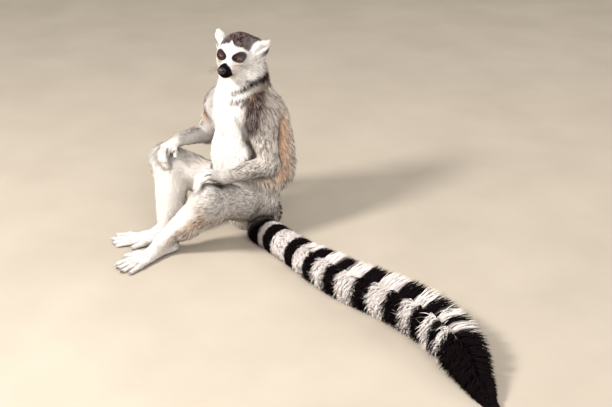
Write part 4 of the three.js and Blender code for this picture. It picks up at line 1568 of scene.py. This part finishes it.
def make_nose(material):
    """The bare nose, with a comma-shaped nostril on each side and a groove down the middle; the nostrils
    are painted near-black as painted shade in their holes.
    """
    unit_ball, faces = ball(60, 80)
    q = unit_ball * NOSE_RADII
    hollow = np.zeros(len(q))
    for sign in (1, -1):
        hole = near(unit_ball, unit(vec(sign * 0.62, -0.76, -0.05)), 0.06)
        slit = near(unit_ball, unit(vec(sign * 0.90, -0.36, -0.22)), vec(0.07, 0.07, 0.015))
        rim = near(unit_ball, unit(vec(sign * 0.55, -0.68, 0.42)), 0.08)
        q = q - unit_ball * (2.6 * hole + 1.4 * slit - 0.7 * rim)[:, None]
        hollow = np.maximum(hollow, np.clip(1.8 * np.maximum(hole, slit), 0, 1))
    groove = hump(unit_ball[:, 0], 0.07) * smooth(-unit_ball[:, 2], -0.1, 0.3) * (unit_ball[:, 1] < 0)
    q = q - unit_ball * (0.5 * groove)[:, None]
    nose = mesh_object("nose_leather", from_head(q + NOSE_MIDDLE), faces)
    # Painted shade: the nostrils' holes are painted near-black.
    paint(nose.data, mix(all_over(NOSE_GREY, q), BLACK * 0.4, hollow))
    unwrap(nose)
    place_piece(nose, material, "nose_leather", "nose")


LOWEST_NAIL = 0.4  # mm above the floor


def make_nails(material):
    """A small flat nail on the back of each digit's tip."""
    unit_ball, faces = ball(14, 18)
    points, triangles = [], []
    for tip, ahead, dorsal, r in DIGIT_TIPS:
        middle = tip + ahead * r * 0.55 + dorsal * r * 0.42
        shape = unit_ball * vec(r * 0.62, r * 1.05, r * 0.42)
        shape[:, 2] -= 0.35 * r * unit_ball[:, 1] ** 2
        triangles.append(faces + len(unit_ball) * len(points))
        points.append(middle + shape @ np.stack([np.cross(dorsal, ahead), ahead, dorsal]))
    points = np.concatenate(points)
    points[:, 2] = np.maximum(points[:, 2], LOWEST_NAIL)
    nails = mesh_object("nails", points, np.concatenate(triangles))
    unwrap(nails)
    place_piece(nails, material, "dark_coat")


def whisker_roots(rng):
    """Where each whisker starts, the way it points and its length, in the head's frame."""
    rows = []
    for sign in (1, -1):
        for i in range(8):
            row, column = divmod(i, 4)
            back = -27 + 3.2 * column + rng.uniform(-0.5, 0.5)
            way = vec(sign * (1.0 + 0.1 * column), -0.25 + 0.3 * column, -0.35 - 0.15 * row)
            rows.append((vec(sign * (8.2 + 0.3 * row), back, -12.5 - 2.4 * row), way, rng.uniform(20, 30)))
        for i in range(4):
            way = vec(sign * (0.2 + 0.15 * i), -0.55, 0.85)
            rows.append((vec(sign * (9 + 2.2 * i), 0.5, 13.5), way, rng.uniform(14, 20)))
    return (np.array(column) for column in zip(*rows))


def make_whiskers(material):
    """Long stiff hairs on the upper lip and above the eyes."""
    rng = np.random.default_rng(WHISKER_SEED)
    roots, ways, lengths = whisker_roots(rng)
    roots = settle(from_head(roots), rounds=8, reach=12)
    count = len(roots)
    t = dict(root=roots, normal=skin_normals(roots), flow=unit_rows(ways @ HEAD_TURN.T), length=lengths)
    t.update(width=np.full(count, 0.22), lift=np.full(count, 0.25), lay=np.full(count, -0.1))
    t.update(sink=np.full(count, 0.5), stray=0.05 * rng.standard_normal((count, 3)) - vec(0, 0, 0.12))
    t.update(base=all_over(BLACK, roots), tip=all_over(BLACK * 2, roots), under=all_over(BLACK, roots))
    t["uv"] = np.stack([(np.arange(count) + 0.5) / count, np.full(count, 0.5)], axis=1)
    place_piece(build_tufts("whiskers", t, 3), material, "dark_coat")


# ------------------------------------------------------------------ room
FLOOR_HALF = 7.0


def make_floor():
    corners = [(x * FLOOR_HALF, y * FLOOR_HALF, FLOOR_Z) for x, y in ((-1, -1), (1, -1), (1, 1), (-1, 1))]
    mesh = bpy.data.meshes.new("floor")
    mesh.from_pydata(corners, [], [(0, 1, 2, 3)])
    floor = bpy.data.objects.new("floor", mesh)
    bpy.context.scene.collection.objects.link(floor)
    low, high = colour(172, 161, 146), colour(179, 168, 153)
    mesh.materials.append(mottled("floor", 6.0, low, high, {"Roughness": 0.9}))


LIT_PLACE = Vector((0.03, -0.06, 0.15))  # what the lights point at


def area_light(name, direction, distance, size, power, tint):
    data = bpy.data.lights.new(name, "AREA")
    data.shape = "DISK"
    data.size, data.energy, data.color = size, power, tint
    light = bpy.data.objects.new(name, data)
    way = Vector(direction).normalized()
    light.location = LIT_PLACE + way * distance
    light.rotation_euler = (-way).to_track_quat("-Z", "Y").to_euler()
    bpy.context.scene.collection.objects.link(light)


def make_light():
    area_light("key", (0.02, -0.88, 0.72), 2.2, 0.45, 74.0, (1.0, 0.975, 0.945))
    area_light("fill", (0.95, -0.25, 0.75), 2.6, 2.0, 44.0, (1.0, 0.99, 0.98))
    area_light("rim", (0.35, 0.95, 0.8), 2.4, 1.4, 16.0, (1.0, 0.97, 0.93))
    world = bpy.data.worlds.new("world")
    world.use_nodes = True
    background = world.node_tree.nodes["Background"]
    background.inputs["Color"].default_value = (1.0, 0.97, 0.93, 1)
    background.inputs["Strength"].default_value = 0.5
    bpy.context.scene.world = world
    bpy.context.scene.view_settings.view_transform = "Standard"


# ------------------------------------------------------------------ everything in place
FLESH = ["head", "neck", "chest", "rump", "tail_base", "tail_middle", "tail_far", "tail_tip"]
FLESH += ["%s_%s" % (part, side) for side in SIDES
          for part in ("ear", "upper_arm", "forearm", "hand", "thigh", "shank", "foot")]
SKIN_LOOK = {"Roughness": 0.85, "Specular IOR Level": 0.05}
COAT_LOOK = {"Roughness": 0.78, "Specular IOR Level": 0.04}
NOSE_LOOK = {"Roughness": 0.4, "Specular IOR Level": 0.4}
EYE_LOOK = {"Roughness": 0.12, "Coat Weight": 1.0, "Coat Roughness": 0.03}
NAIL_LOOK = {"Roughness": 0.35, "Coat Weight": 0.3}

skin = make_skin()
unwrap(skin)
place_piece(skin, painted("skin", 700.0, 0.72, 1.05, SKIN_LOOK, 0.0005), "grey_coat", *FLESH)
make_coat(painted("coat", 900.0, 0.80, 1.10, COAT_LOOK))
eye_material = painted("eye", 1600.0, 0.8, 1.15, EYE_LOOK, detail=3.0)
for side_name in SIDES:
    make_eye(side_name, eye_material)
make_nose(painted("nose_leather", 1500.0, 0.6, 1.3, NOSE_LOOK, 0.0004))
make_nails(mottled("nail", 900.0, colour(30, 24, 24), colour(62, 52, 50), NAIL_LOOK, bump_depth=0.0001))
make_whiskers(mottled("whisker", 600.0, colour(20, 14, 14), colour(44, 34, 34), {"Roughness": 0.45}))
make_floor()
make_light()
